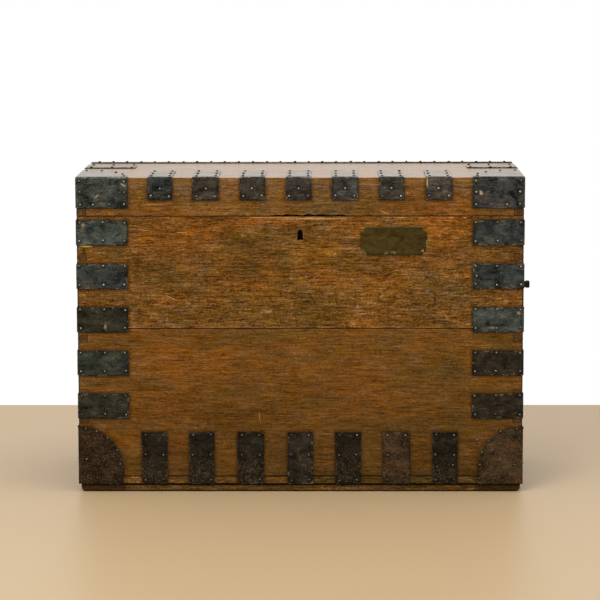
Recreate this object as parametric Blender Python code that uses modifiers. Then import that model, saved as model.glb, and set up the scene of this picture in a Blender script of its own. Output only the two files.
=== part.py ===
"""Iron-bound trunk of dovetailed boards, with a hinged lid, an inside lock and two drop handles.

Units are metres, +Z is up and the front faces -Y. The origin is on the floor, under the middle
of the whole trunk, hinge knuckles and strap faces included.
"""

import math

import bmesh
import bpy
from mathutils import Vector

# Fits that every piece shares
GAP = 0.0003
LID_GAP = 0.0006
OVERRUN = 0.004
WELD = 0.00001

# Wooden case
CASE_WIDTH = 0.760
CASE_DEPTH = 0.312
WALL_HEIGHT = 0.448
WALL = 0.016
UPPER_FRONT_HEIGHT = 0.1915
BOTTOM_THICKNESS = 0.0137

# Runners that the case stands on
RUNNER_HEIGHT = 0.0137
RUNNER_DEPTH = 0.048
RUNNER_SETBACK = 0.005
RUNNER_END_INSET = 0.0025
RUNNER_CORNER = 0.0080

# Dovetails of the case corners
PIN_PITCH = 0.0467
PIN_AT_FACE = 0.0090
PIN_AT_BASE = 0.0130

# Lid, a shallow tray with a board nailed on its rails
LID_BOARD = 0.0116
LID_RAIL_HEIGHT = 0.0535
LID_RAIL = 0.016
LID_PIN_AT_FACE = 0.0120
LID_PIN_AT_BASE = 0.0145
LID_ARRIS = 0.0010

# Sheet iron, and the L straps round the upright corners
SHEET = 0.0012
STRAP_HEIGHT = 0.0423
STRAP_COUNT = 5
STRAP_TOP_DROP = 0.0070
STRAP_FRONT_LEG = 0.0860
STRAP_TO_STUD = 0.0125
STRAP_TO_PLATE = 0.0141

# Quarter-round plates at the bottom corners
PLATE_RADIUS = 0.0760
PLATE_FOOT = 0.0242

# Flat straps that tie the front to the bottom board
FOOT_STRAP_COUNT = 7
FOOT_STRAP_WIDTH = 0.0434
FOOT_STRAP_HEIGHT = 0.0900
FOOT_STRAP_TO_PLATE = 0.0333
STRAP_ROUND = 0.0016

# L straps over the front edge of the lid
LID_STRAP_COUNT = 7
LID_STRAP_WIDTH = 0.0430
LID_STRAP_TO_CAP = 0.0347
LID_STRAP_OFFSET = -0.0020
LID_STRAP_FRONT_LEG = 0.0380
LID_STRAP_TOP_LEG = 0.1250

# Caps on the front corners of the lid
CAP_FRONT_LEG = 0.0868
CAP_DROP = 0.0518
CAP_TOP_DEPTH = 0.1380
CAP_TOP_SQUARE = 0.0100

# Straps over the ends of the lid, and the iron along its back edge
END_STRAP_TOP_LEG = 0.0880
END_STRAP_SIDE_LEG = 0.0450
END_STRAP_WIDTH = 0.0620
BACK_STRIP = 0.0020
BACK_STRIP_TOP_LEG = 0.0150
BACK_STRIP_BACK_LEG = 0.0120
BACK_STRIP_INSET = 0.0010

# Bare brass plate with hollowed corners
BRASS_WIDTH = 0.1131
BRASS_HEIGHT = 0.0480
BRASS_TO_END = 0.1642
BRASS_TOP_DROP = 0.0183
BRASS_NOTCH = 0.0080

# Keyhole through the front board
KEY_WIDTH = 0.0092
KEY_TOP_DROP = 0.0229
KEY_HEIGHT = 0.0184
KEY_FOOT_WIDTH = 0.0104

# Lock case, an iron tray behind the keyhole
LOCK_WIDTH = 0.0760
LOCK_HEIGHT = 0.0560
LOCK_DEPTH = 0.0150
LOCK_WALL = 0.0016
LOCK_TOP_DROP = 0.0030
LOCK_FLANGE = 0.0120
LOCK_ARRIS = 0.0015

# Hook plate on the lid, which drops into the lock
HOOK_WIDTH = 0.0200
HOOK_REACH = 0.0200
HOOK_THICKNESS = 0.0024
HOOK_SWING_ROOM = 0.0012
HOOK_SLOT_ROOM = 0.0008
HOOK_PLATE_WIDTH = 0.0520
HOOK_PLATE_HEIGHT = 0.0300
HOOK_PLATE_LIFT = 0.0080
HOOK_EYE_HEIGHT = 0.0086
HOOK_EYE_DEPTH = 0.0085
HOOK_EYE_TOP_DROP = 0.0082
HOOK_TIP_BEVEL = 0.0030

# Bolt that slides into the hook
BOLT_THICKNESS = 0.0050
BOLT_LENGTH = 0.0170
BOLT_HEAD_LENGTH = 0.0070
BOLT_HEIGHT = 0.0250
BOLT_REST_ROOM = 0.0020
BOLT_EYE_ROOM = 0.0008
BOLT_TALON_WIDTH = 0.0080
BOLT_TALON_DEPTH = 0.0070

# Studs and bail of each drop handle
HANDLE_SPAN = 0.1280
HANDLE_DROP = 0.1278
STUD_REACH = 0.0168
STUD_HEAD = 0.0120
STUD_HEAD_LENGTH = 0.0062
STUD_NECK = 0.0104
STUD_THICKNESS = 0.0090
STUD_ARRIS = 0.0012
WORN_STUD_WALL = 0.0012
BAIL_RADIUS = 0.0030
BAIL_ROOM = 0.0003
BAIL_OFFSET = 0.0050
BAIL_END = 0.0015
BAIL_SHOULDER_ROOM = 0.0010
BAIL_SHOULDER = 0.0070
BAIL_CORNER = 0.0160
BAIL_DROP = 0.0540

# Hinges on the back, with their knuckles behind the joint
HINGE_FROM_END = 0.1500
HINGE_WIDTH = 0.0460
HINGE_LEAF = 0.0020
HINGE_CASE_LEAF = 0.0900
HINGE_LID_LEAF = 0.0460
KNUCKLE_RADIUS = 0.0050
KNUCKLE_OFFSET = 0.0002
KNUCKLE_SHARES = (0.0, 0.3, 0.7, 1.0)
KNUCKLE_ROOM = 0.0004
HINGE_PIN_RADIUS = 0.0022
HINGE_PIN_ROOM = 0.0003
HINGE_LEAF_ROOM = 0.0006
HINGE_TAB_SHORT = 0.0007
HINGE_LEAF_ROUND = 0.0060

# Facets
ARC_STEPS = 5
WIDE_ARC_STEPS = 12
ROUND_SIDES = 24
EASED_STEPS = 2
SHARP_ANGLE = 30

# Levels above the floor
BOTTOM_UNDERSIDE = RUNNER_HEIGHT + GAP
WALL_FOOT = BOTTOM_UNDERSIDE + BOTTOM_THICKNESS + GAP
WALL_TOP = WALL_FOOT + WALL_HEIGHT
SEAM = WALL_TOP - UPPER_FRONT_HEIGHT
LID_FOOT = WALL_TOP + LID_GAP
RAIL_TOP = LID_FOOT + LID_RAIL_HEIGHT
LID_BOARD_UNDERSIDE = RAIL_TOP + GAP
LID_TOP = LID_BOARD_UNDERSIDE + LID_BOARD
HANDLE_LEVEL = WALL_TOP - HANDLE_DROP
PLATE_TOP = BOTTOM_UNDERSIDE + PLATE_FOOT + PLATE_RADIUS

# Places across and along the trunk
HALF_WIDTH = CASE_WIDTH / 2
FRONT_REACH = GAP + SHEET
BACK_REACH = GAP + KNUCKLE_OFFSET + 2 * KNUCKLE_RADIUS
FRONT = (CASE_DEPTH + BACK_REACH + FRONT_REACH) / -2 + FRONT_REACH
BACK = FRONT + CASE_DEPTH
MIDDLE = (FRONT + BACK) / 2
HINGE_AXIS_Y = BACK + GAP + KNUCKLE_OFFSET + KNUCKLE_RADIUS
HINGE_AXIS_Z = WALL_TOP + LID_GAP / 2
BAIL_AXIS_X = HALF_WIDTH + BAIL_OFFSET
WORN_STUD_REACH = BAIL_OFFSET + BAIL_RADIUS + BAIL_ROOM + WORN_STUD_WALL

# Straps spread evenly over the room that the corner irons leave
STRAP_ROOM = WALL_TOP - STRAP_TOP_DROP - STRAP_HEIGHT - STRAP_TO_PLATE - PLATE_TOP
STRAP_PITCH = STRAP_ROOM / (STRAP_COUNT - 1)
STRAP_SIDE_LEG = (CASE_DEPTH - HANDLE_SPAN - STUD_THICKNESS) / 2 - STRAP_TO_STUD
FOOT_STRAP_ROOM = CASE_WIDTH - FOOT_STRAP_WIDTH - 2 * (PLATE_RADIUS + FOOT_STRAP_TO_PLATE)
FOOT_STRAP_PITCH = FOOT_STRAP_ROOM / (FOOT_STRAP_COUNT - 1)
LID_STRAP_ROOM = CASE_WIDTH - LID_STRAP_WIDTH - 2 * (CAP_FRONT_LEG + LID_STRAP_TO_CAP)
LID_STRAP_PITCH = LID_STRAP_ROOM / (LID_STRAP_COUNT - 1)
END_STRAP_ROOM = CASE_DEPTH - CAP_TOP_DEPTH - END_STRAP_WIDTH - BACK_STRIP_TOP_LEG
END_STRAP_FRONT = FRONT + CAP_TOP_DEPTH + END_STRAP_ROOM / 2
BRASS_CENTRE_X = HALF_WIDTH - BRASS_TO_END - BRASS_WIDTH / 2

# Colour, roughness and metallic value of each material
FINISHES = {
    "case_wood": ((0.165, 0.068, 0.016), 0.55, 0.0),
    "lid_wood": ((0.185, 0.082, 0.022), 0.50, 0.0),
    "strap_iron": ((0.042, 0.045, 0.036), 0.50, 0.8),
    "rusty_iron": ((0.038, 0.026, 0.013), 0.65, 0.6),
    "aged_brass": ((0.085, 0.050, 0.012), 0.45, 0.9),
    "forged_iron": ((0.018, 0.016, 0.014), 0.50, 0.8),
}

PLANE_TURNS = {
    "XY": (0.0, 0.0, 0.0),
    "XZ": (math.pi / 2, 0.0, 0.0),
    "YZ": (math.pi / 2, 0.0, math.pi / 2),
}
PLANE_NORMALS = {"XY": Vector((0, 0, 1)), "XZ": Vector((0, 1, 0)), "YZ": Vector((1, 0, 0))}


def clear_scene():
    for obj in list(bpy.data.objects):
        bpy.data.objects.remove(obj, do_unlink=True)


def make_collection(name):
    collection = bpy.data.collections.new(name)
    bpy.context.scene.collection.children.link(collection)
    return collection


def make_materials():
    made = {}
    for name, (colour, roughness, metallic) in FINISHES.items():
        material = bpy.data.materials.new(name)
        material.use_nodes = True
        shader = material.node_tree.nodes["Principled BSDF"]
        shader.inputs["Base Color"].default_value = (*colour, 1.0)
        shader.inputs["Roughness"].default_value = roughness
        shader.inputs["Metallic"].default_value = metallic
        made[name] = material
    return made


def arc(centre, radii, start, end, steps):
    """Points on an elliptical arc, with its angles in degrees."""
    points = []
    for step in range(steps + 1):
        angle = math.radians(start + (end - start) * step / steps)
        across = centre[0] + radii[0] * math.cos(angle)
        up = centre[1] + radii[1] * math.sin(angle)
        points.append((across, up))
    return points


def rectangle(low, high):
    return [low, (high[0], low[1]), high, (low[0], high[1])]


def rounded_rectangle(low, high, radius):
    corners = (
        (low[0] + radius, low[1] + radius, 180),
        (high[0] - radius, low[1] + radius, 270),
        (high[0] - radius, high[1] - radius, 0),
        (low[0] + radius, high[1] - radius, 90),
    )
    points = []
    for across, up, start in corners:
        points += arc((across, up), (radius, radius), start, start + 90, ARC_STEPS)
    return points


def angle_iron(corner, along_a, along_b, leg_a, leg_b, sheet):
    """The bent section of an iron that laps round a board's square arris, its bend rounded."""
    corner, a, b = Vector(corner), Vector(along_a), Vector(along_b)
    inner = corner - (a + b) * GAP
    points = [corner + a * leg_a - b * (GAP + sheet)]
    for step in range(ARC_STEPS + 1):
        turn = math.radians(90 * step / ARC_STEPS)
        points.append(inner - (b * math.cos(turn) + a * math.sin(turn)) * sheet)
    points.append(corner + b * leg_b - a * (GAP + sheet))
    points.append(corner + b * leg_b - a * GAP)
    points.append(inner)
    points.append(corner + a * leg_a - b * GAP)
    return [tuple(point) for point in points]


def mirrored(points, side):
    """The outline for the right side when side is 1, and for the left when it is -1."""
    return [(side * across, up) for across, up in points]


def mesh_object(name, mesh, collection):
    obj = bpy.data.objects.new(name, mesh)
    collection.objects.link(obj)
    return obj


def meshed_curve(curve_object, name, collection):
    """Turns a curve into a mesh with its caps welded on, at the curve's own place."""
    bpy.context.view_layer.update()
    graph = bpy.context.evaluated_depsgraph_get()
    mesh = bpy.data.meshes.new_from_object(curve_object.evaluated_get(graph))
    place = curve_object.matrix_world.copy()
    bpy.data.objects.remove(curve_object, do_unlink=True)
    shape = bmesh.new()
    shape.from_mesh(mesh)
    bmesh.ops.remove_doubles(shape, verts=shape.verts, dist=WELD)
    bmesh.ops.recalc_face_normals(shape, faces=shape.faces)
    shape.to_mesh(mesh)
    shape.free()
    mesh.name = name
    obj = mesh_object(name, mesh, collection)
    obj.matrix_world = place
    return obj


class Workshop:
    """Holds the collections and materials, and makes each piece into them."""

    def __init__(self):
        self.pieces = make_collection("iron_bound_trunk")
        self.cutters = make_collection("cutters")
        self.materials = make_materials()

    def dress(self, obj, finish):
        obj.data.materials.clear()
        obj.data.materials.append(self.materials[finish])
        return obj

    def flat(self, name, outlines, plane, start, thickness, finish=None):
        """A flat outline, or several, given a thickness along the plane's normal from start."""
        curve = bpy.data.curves.new(name, "CURVE")
        curve.dimensions = "2D"
        curve.fill_mode = "BOTH"
        curve.extrude = thickness / 2
        for outline in outlines:
            spline = curve.splines.new("POLY")
            spline.points.add(len(outline) - 1)
            for point, (across, up) in zip(spline.points, outline):
                point.co = (across, up, 0, 1)
            spline.use_cyclic_u = True
        target = self.pieces if finish else self.cutters
        guide = mesh_object(name + "_outline", curve, target)
        guide.rotation_euler = PLANE_TURNS[plane]
        guide.location = PLANE_NORMALS[plane] * (start + thickness / 2)
        obj = meshed_curve(guide, name, target)
        return self.dress(obj, finish) if finish else self.hide(obj)

    def block(self, name, low, high, finish=None, arris=0):
        """A box from one corner to the other, with its edges eased by arris."""
        shape = bmesh.new()
        bmesh.ops.create_cube(shape, size=1)
        size = Vector(high) - Vector(low)
        bmesh.ops.scale(shape, vec=size, verts=shape.verts)
        mesh = bpy.data.meshes.new(name)
        shape.to_mesh(mesh)
        shape.free()
        obj = mesh_object(name, mesh, self.pieces if finish else self.cutters)
        obj.location = (Vector(low) + Vector(high)) / 2
        if arris:
            ease = obj.modifiers.new("eased_edges", "BEVEL")
            ease.width = arris
            ease.segments = EASED_STEPS
        return self.dress(obj, finish) if finish else self.hide(obj)

    def rod(self, name, centre, axis, radius, length, finish=None):
        """A round bar along X or Y."""
        shape = bmesh.new()
        bmesh.ops.create_cone(
            shape,
            cap_ends=True,
            segments=ROUND_SIDES,
            radius1=radius,
            radius2=radius,
            depth=length,
        )
        mesh = bpy.data.meshes.new(name)
        shape.to_mesh(mesh)
        shape.free()
        mesh.shade_smooth()
        mesh.set_sharp_from_angle(angle=math.radians(SHARP_ANGLE))
        obj = mesh_object(name, mesh, self.pieces if finish else self.cutters)
        obj.location = centre
        obj.rotation_euler = {"X": (0, math.pi / 2, 0), "Y": (math.pi / 2, 0, 0)}[axis]
        return self.dress(obj, finish) if finish else self.hide(obj)

    def hide(self, obj):
        obj.hide_render = True
        obj.display_type = "WIRE"
        return obj

    def combine(self, obj, other, operation):
        """Adds a live Boolean: other is a helper, kept among the cutters."""
        step = obj.modifiers.new(other.name, "BOOLEAN")
        step.operation = operation
        step.object = other
        return obj

    def cut(self, obj, *others):
        for other in others:
            self.combine(obj, other, "DIFFERENCE")
        return obj

    def join(self, obj, *others):
        for other in others:
            self.combine(obj, other, "UNION")
        return obj


def pin_half(at_face, at_base, depth, board):
    """Half the height of a dovetail pin, depth below the outer face: it widens inwards."""
    return (at_face + (at_base - at_face) * depth / board) / 2


def case_pin_levels():
    """The middle of each pin, from the wall's top down, as far as a whole pin and its tail fit."""
    count = int((WALL_HEIGHT - PIN_AT_BASE) / PIN_PITCH + 0.5)
    return [WALL_TOP - PIN_PITCH * (index + 0.5) for index in range(count)]


def pin_sockets(levels, at_face, at_base, board):
    """Outlines of the sockets that one board's tails leave for the pins, on the right side."""
    outer = HALF_WIDTH + OVERRUN
    inner = HALF_WIDTH - board - GAP
    outer_half = pin_half(at_face, at_base, -OVERRUN, board)
    inner_half = pin_half(at_face, at_base, board + GAP, board)
    outlines = []
    for level in levels:
        outlines.append(
            [
                (outer, level - outer_half),
                (outer, level + outer_half),
                (inner, level + inner_half),
                (inner, level - inner_half),
            ]
        )
    return outlines


def tail_sockets(levels, edges, at_face, at_base, board):
    """Outlines of what is cut between the pins of an end board, on the right side.

    edges is the board's foot and top, each with True where a pin runs out at that edge.
    """
    (foot, pin_at_foot), (top, pin_at_top) = edges
    outer = HALF_WIDTH + OVERRUN
    inner = HALF_WIDTH - board - OVERRUN
    outer_half = pin_half(at_face, at_base, -OVERRUN, board) - GAP
    inner_half = pin_half(at_face, at_base, board + OVERRUN, board) - GAP
    lows = [(level + outer_half, level + inner_half) for level in sorted(levels)]
    highs = [(level - outer_half, level - inner_half) for level in sorted(levels)]
    if not pin_at_foot:
        lows.insert(0, (foot - OVERRUN, foot - OVERRUN))
    else:
        highs = highs[1:]
    if not pin_at_top:
        highs.append((top + OVERRUN, top + OVERRUN))
    outlines = []
    for (low_out, low_in), (high_out, high_in) in zip(lows, highs):
        outlines.append([(outer, low_out), (outer, high_out), (inner, high_in), (inner, low_in)])
    return outlines


def both_sides(outlines):
    return outlines + [mirrored(outline, -1) for outline in outlines]


def tail_board(shop, name, foot, top, near, board, sockets, finish):
    """A board that runs the trunk's full width, with tails at both ends."""
    blank = rectangle((-HALF_WIDTH, foot), (HALF_WIDTH, top))
    piece = shop.flat(name, [blank], "XZ", near, board, finish)
    notches = shop.flat(
        name + "_sockets", both_sides(sockets), "XZ", near - OVERRUN, board + 2 * OVERRUN
    )
    return shop.cut(piece, notches)


def pin_board(shop, name, side, foot, top, board, sockets, finish):
    """An end board, cut back between its pins at the front and the back."""
    outer = side * HALF_WIDTH
    inner = side * (HALF_WIDTH - board)
    low = (min(outer, inner), FRONT, foot)
    high = (max(outer, inner), BACK, top)
    piece = shop.block(name, low, high, finish)
    outlines = [mirrored(outline, side) for outline in sockets]
    depth = board + GAP + OVERRUN
    at_front = shop.flat(name + "_front_tails", outlines, "XZ", FRONT - OVERRUN, depth)
    at_back = shop.flat(name + "_back_tails", outlines, "XZ", BACK + OVERRUN - depth, depth)
    return shop.cut(piece, at_front, at_back)


def keyhole_outline():
    """Round-headed keyhole, a little wider at its foot."""
    half = KEY_WIDTH / 2
    head = WALL_TOP - KEY_TOP_DROP - half
    foot = WALL_TOP - KEY_TOP_DROP - KEY_HEIGHT
    points = arc((0, head), (half, half), 0, 180, WIDE_ARC_STEPS)
    return points + [(KEY_FOOT_WIDTH / -2, foot), (KEY_FOOT_WIDTH / 2, foot)]


def case_boards(shop):
    levels = case_pin_levels()
    sockets = pin_sockets(levels, PIN_AT_FACE, PIN_AT_BASE, WALL)
    edges = ((WALL_FOOT, False), (WALL_TOP, False))
    cuts = tail_sockets(levels, edges, PIN_AT_FACE, PIN_AT_BASE, WALL)
    upper_foot = SEAM + GAP / 2
    upper = tail_board(
        shop, "front_board_upper", upper_foot, WALL_TOP, FRONT, WALL, sockets, "case_wood"
    )
    keyhole = shop.flat(
        "keyhole", [keyhole_outline()], "XZ", FRONT - OVERRUN, WALL + 2 * OVERRUN
    )
    shop.cut(upper, keyhole)
    lower_top = SEAM - GAP / 2
    tail_board(
        shop, "front_board_lower", WALL_FOOT, lower_top, FRONT, WALL, sockets, "case_wood"
    )
    back_near = BACK - WALL
    tail_board(shop, "back_board", WALL_FOOT, WALL_TOP, back_near, WALL, sockets, "case_wood")
    for side, word in ((-1, "left"), (1, "right")):
        pin_board(
            shop, word + "_end_board", side, WALL_FOOT, WALL_TOP, WALL, cuts, "case_wood"
        )
    low = (-HALF_WIDTH, FRONT, BOTTOM_UNDERSIDE)
    high = (HALF_WIDTH, BACK, BOTTOM_UNDERSIDE + BOTTOM_THICKNESS)
    shop.block("bottom_board", low, high, "case_wood")


def runners(shop):
    """Two boards under the case, their lower corners rounded at the ends."""
    half = HALF_WIDTH - RUNNER_END_INSET
    radii = (RUNNER_CORNER, RUNNER_CORNER)
    outline = [(half, RUNNER_HEIGHT), (-half, RUNNER_HEIGHT)]
    outline += arc((RUNNER_CORNER - half, RUNNER_CORNER), radii, 180, 270, ARC_STEPS)
    outline += arc((half - RUNNER_CORNER, RUNNER_CORNER), radii, 270, 360, ARC_STEPS)
    front_start = FRONT + RUNNER_SETBACK
    rear_start = BACK - RUNNER_SETBACK - RUNNER_DEPTH
    shop.flat("front_runner", [outline], "XZ", front_start, RUNNER_DEPTH, "case_wood")
    shop.flat("rear_runner", [outline], "XZ", rear_start, RUNNER_DEPTH, "case_wood")


def lid_boards(shop):
    levels = [LID_FOOT, RAIL_TOP]
    at_face, at_base = 2 * LID_PIN_AT_FACE, 2 * LID_PIN_AT_BASE
    sockets = pin_sockets(levels, at_face, at_base, LID_RAIL)
    edges = ((LID_FOOT, True), (RAIL_TOP, True))
    cuts = tail_sockets(levels, edges, at_face, at_base, LID_RAIL)
    for name, near in (("lid_front_rail", FRONT), ("lid_back_rail", BACK - LID_RAIL)):
        tail_board(shop, name, LID_FOOT, RAIL_TOP, near, LID_RAIL, sockets, "lid_wood")
    for side, name in ((-1, "lid_left_rail"), (1, "lid_right_rail")):
        pin_board(shop, name, side, LID_FOOT, RAIL_TOP, LID_RAIL, cuts, "lid_wood")
    low = (-HALF_WIDTH, FRONT, LID_BOARD_UNDERSIDE)
    high = (HALF_WIDTH, BACK, LID_TOP)
    shop.block("lid_top_board", low, high, "lid_wood", LID_ARRIS)


def corner_straps(shop):
    """Five L straps up each front corner."""
    section = angle_iron(
        (HALF_WIDTH, FRONT), (-1, 0), (0, 1), STRAP_FRONT_LEG, STRAP_SIDE_LEG, SHEET
    )
    for side, word in ((-1, "left"), (1, "right")):
        for index in range(STRAP_COUNT):
            top = WALL_TOP - STRAP_TOP_DROP - STRAP_PITCH * index
            name = f"{word}_corner_strap_{index + 1}"
            outline = mirrored(section, side)
            shop.flat(name, [outline], "XY", top - STRAP_HEIGHT, STRAP_HEIGHT, "strap_iron")


def corner_plates(shop):
    """Plates with a quarter-round upper edge, lapped round each bottom corner."""
    foot = BOTTOM_UNDERSIDE
    spring = foot + PLATE_FOOT
    radii = (PLATE_RADIUS, PLATE_RADIUS)
    mid_sheet = GAP + SHEET / 2
    out_sheet = GAP + SHEET
    for side, across in ((-1, "left"), (1, "right")):
        face = [(HALF_WIDTH + mid_sheet, foot), (HALF_WIDTH + mid_sheet, spring + PLATE_RADIUS)]
        face += arc((HALF_WIDTH, spring), radii, 90, 180, WIDE_ARC_STEPS)
        face.append((HALF_WIDTH - PLATE_RADIUS, foot))
        for inward, wall, along in ((1, FRONT, "front"), (-1, BACK, "rear")):
            name = f"{along}_{across}_corner_plate"
            face_start = wall - out_sheet if inward == 1 else wall + GAP
            plate = shop.flat(
                name, [mirrored(face, side)], "XZ", face_start, SHEET, "rusty_iron"
            )
            leaf = [(-out_sheet, foot), (-out_sheet, spring + PLATE_RADIUS)]
            leaf += arc((0, spring), radii, 90, 0, WIDE_ARC_STEPS)
            leaf.append((PLATE_RADIUS, foot))
            leaf = [(wall + inward * deep, up) for deep, up in leaf]
            leaf_start = HALF_WIDTH + GAP if side == 1 else -HALF_WIDTH - out_sheet
            shop.join(plate, shop.flat(name + "_side_leaf", [leaf], "YZ", leaf_start, SHEET))


def foot_straps(shop):
    half = FOOT_STRAP_WIDTH / 2
    foot = BOTTOM_UNDERSIDE
    for index in range(FOOT_STRAP_COUNT):
        centre = FOOT_STRAP_PITCH * (index - (FOOT_STRAP_COUNT - 1) / 2)
        low = (centre - half, foot)
        high = (centre + half, foot + FOOT_STRAP_HEIGHT)
        outline = rounded_rectangle(low, high, STRAP_ROUND)
        name = f"foot_strap_{index + 1}"
        shop.flat(name, [outline], "XZ", FRONT - FRONT_REACH, SHEET, "rusty_iron")


def lid_straps(shop):
    """Seven L straps over the lid's front edge, one over each end, and the back edge iron."""
    section = angle_iron(
        (FRONT, LID_TOP), (0, -1), (1, 0), LID_STRAP_FRONT_LEG, LID_STRAP_TOP_LEG, SHEET
    )
    for index in range(LID_STRAP_COUNT):
        centre = LID_STRAP_OFFSET + LID_STRAP_PITCH * (index - (LID_STRAP_COUNT - 1) / 2)
        start = centre - LID_STRAP_WIDTH / 2
        name = f"lid_strap_{index + 1}"
        shop.flat(name, [section], "YZ", start, LID_STRAP_WIDTH, "strap_iron")
    end_section = angle_iron(
        (HALF_WIDTH, LID_TOP), (0, -1), (-1, 0), END_STRAP_SIDE_LEG, END_STRAP_TOP_LEG, SHEET
    )
    for side, name in ((-1, "lid_left_end_strap"), (1, "lid_right_end_strap")):
        outline = mirrored(end_section, side)
        shop.flat(name, [outline], "XZ", END_STRAP_FRONT, END_STRAP_WIDTH, "strap_iron")
    strip = angle_iron(
        (BACK, LID_TOP), (0, -1), (-1, 0), BACK_STRIP_BACK_LEG, BACK_STRIP_TOP_LEG, BACK_STRIP
    )
    length = CASE_WIDTH - 2 * BACK_STRIP_INSET
    shop.flat("lid_back_edge_iron", [strip], "YZ", length / -2, length, "strap_iron")


def lid_corner_caps(shop):
    """Caps on the lid's front corners: a front leaf, a side leaf and a rounded top leaf."""
    mid_sheet = GAP + SHEET / 2
    out_sheet = GAP + SHEET
    foot = LID_TOP - CAP_DROP
    round_depth = CAP_TOP_DEPTH - CAP_TOP_SQUARE
    back = FRONT + CAP_TOP_DEPTH
    inner = HALF_WIDTH - CAP_FRONT_LEG
    front_leaf = rectangle((inner, foot), (HALF_WIDTH + mid_sheet, LID_TOP + mid_sheet))
    side_leaf = rectangle((FRONT - out_sheet, foot), (back, LID_TOP + mid_sheet))
    top_leaf = [(HALF_WIDTH + out_sheet, FRONT - out_sheet), (HALF_WIDTH + out_sheet, back)]
    top_leaf += arc(
        (HALF_WIDTH, back - round_depth), (CAP_FRONT_LEG, round_depth), 90, 180, WIDE_ARC_STEPS
    )
    top_leaf.append((inner, FRONT - out_sheet))
    for side, word in ((-1, "left"), (1, "right")):
        name = f"lid_{word}_corner_cap"
        outline = mirrored(top_leaf, side)
        cap = shop.flat(name, [outline], "XY", LID_TOP + GAP, SHEET, "strap_iron")
        face = mirrored(front_leaf, side)
        start = HALF_WIDTH + GAP if side == 1 else -HALF_WIDTH - out_sheet
        shop.join(
            cap,
            shop.flat(name + "_front_leaf", [face], "XZ", FRONT - out_sheet, SHEET),
            shop.flat(name + "_side_leaf", [side_leaf], "YZ", start, SHEET),
        )


def brass_plate(shop):
    """A bare plate whose corners are hollowed."""
    half = BRASS_WIDTH / 2
    top = WALL_TOP - BRASS_TOP_DROP
    foot = top - BRASS_HEIGHT
    radii = (BRASS_NOTCH, BRASS_NOTCH)
    left, right = BRASS_CENTRE_X - half, BRASS_CENTRE_X + half
    outline = arc((left, foot), radii, 90, 0, ARC_STEPS)
    outline += arc((right, foot), radii, 180, 90, ARC_STEPS)
    outline += arc((right, top), radii, 270, 180, ARC_STEPS)
    outline += arc((left, top), radii, 360, 270, ARC_STEPS)
    shop.flat("brass_plate", [outline], "XZ", FRONT - FRONT_REACH, SHEET, "aged_brass")


def lock(shop):
    """Lock case behind the keyhole, the hook plate that drops into it, and its bolt."""
    near = FRONT + WALL + GAP
    top = WALL_TOP - LOCK_TOP_DROP
    foot = top - LOCK_HEIGHT
    half = LOCK_WIDTH / 2
    case = shop.block(
        "lock_case", (-half, near, foot), (half, near + LOCK_DEPTH, top), "forged_iron", LOCK_ARRIS
    )
    wide = half + LOCK_FLANGE
    flange_low = (-wide, foot + LOCK_FLANGE)
    flange_high = (wide, top - LOCK_FLANGE)
    flange = rounded_rectangle(flange_low, flange_high, LOCK_FLANGE / 2)
    shop.join(case, shop.flat("lock_flange", [flange], "XZ", near, LOCK_WALL))
    hollow_low = (LOCK_WALL - half, near - OVERRUN, foot + LOCK_WALL)
    hollow_high = (half - LOCK_WALL, near + LOCK_DEPTH - LOCK_WALL, top - LOCK_WALL)
    hook_near = near + HOOK_SWING_ROOM
    slot_half = HOOK_WIDTH / 2 + HOOK_SLOT_ROOM
    slot_low = (-slot_half, near - OVERRUN, top - OVERRUN)
    slot_high = (slot_half, hook_near + HOOK_THICKNESS + HOOK_SLOT_ROOM, top + OVERRUN)
    shop.cut(
        case,
        shop.block("lock_hollow", hollow_low, hollow_high),
        shop.block("lock_slot", slot_low, slot_high),
    )
    hook_half = HOOK_WIDTH / 2
    tip = LID_FOOT - HOOK_REACH
    eye_top = LID_FOOT - HOOK_EYE_TOP_DROP
    eye_foot = eye_top - HOOK_EYE_HEIGHT
    plate_foot = LID_FOOT + HOOK_PLATE_LIFT
    plate_top = plate_foot + HOOK_PLATE_HEIGHT
    hook = [
        (-hook_half, plate_foot + HOOK_PLATE_HEIGHT / 2),
        (-hook_half, tip + HOOK_TIP_BEVEL),
        (HOOK_TIP_BEVEL - hook_half, tip),
        (hook_half - HOOK_TIP_BEVEL, tip),
        (hook_half, tip + HOOK_TIP_BEVEL),
        (hook_half, eye_foot),
        (hook_half - HOOK_EYE_DEPTH, eye_foot),
        (hook_half - HOOK_EYE_DEPTH, eye_top),
        (hook_half, eye_top),
        (hook_half, plate_foot + HOOK_PLATE_HEIGHT / 2),
    ]
    hook_plate = shop.flat("lock_hook_plate", [hook], "XZ", hook_near, HOOK_THICKNESS, "forged_iron")
    plate_half = HOOK_PLATE_WIDTH / 2
    plate = rounded_rectangle((-plate_half, plate_foot), (plate_half, plate_top), HOOK_TIP_BEVEL)
    plate_depth = HOOK_SWING_ROOM + HOOK_THICKNESS / 2
    shop.join(hook_plate, shop.flat("hook_mount", [plate], "XZ", near, plate_depth))
    head_low = eye_foot + BOLT_EYE_ROOM
    head_high = eye_top - BOLT_EYE_ROOM
    nose = hook_half + BOLT_REST_ROOM
    body = nose + BOLT_HEAD_LENGTH
    tail = body + BOLT_LENGTH
    body_foot = head_high - BOLT_HEIGHT
    talon = body + (BOLT_LENGTH - BOLT_TALON_WIDTH) / 2
    bolt = [
        (nose, head_high),
        (nose, head_low),
        (body, head_low),
        (body, body_foot),
        (talon, body_foot),
        (talon, body_foot + BOLT_TALON_DEPTH),
        (talon + BOLT_TALON_WIDTH, body_foot + BOLT_TALON_DEPTH),
        (talon + BOLT_TALON_WIDTH, body_foot),
        (tail, body_foot),
        (tail, head_high),
    ]
    shop.flat("lock_bolt", [bolt], "XZ", near, BOLT_THICKNESS, "forged_iron")


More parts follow.
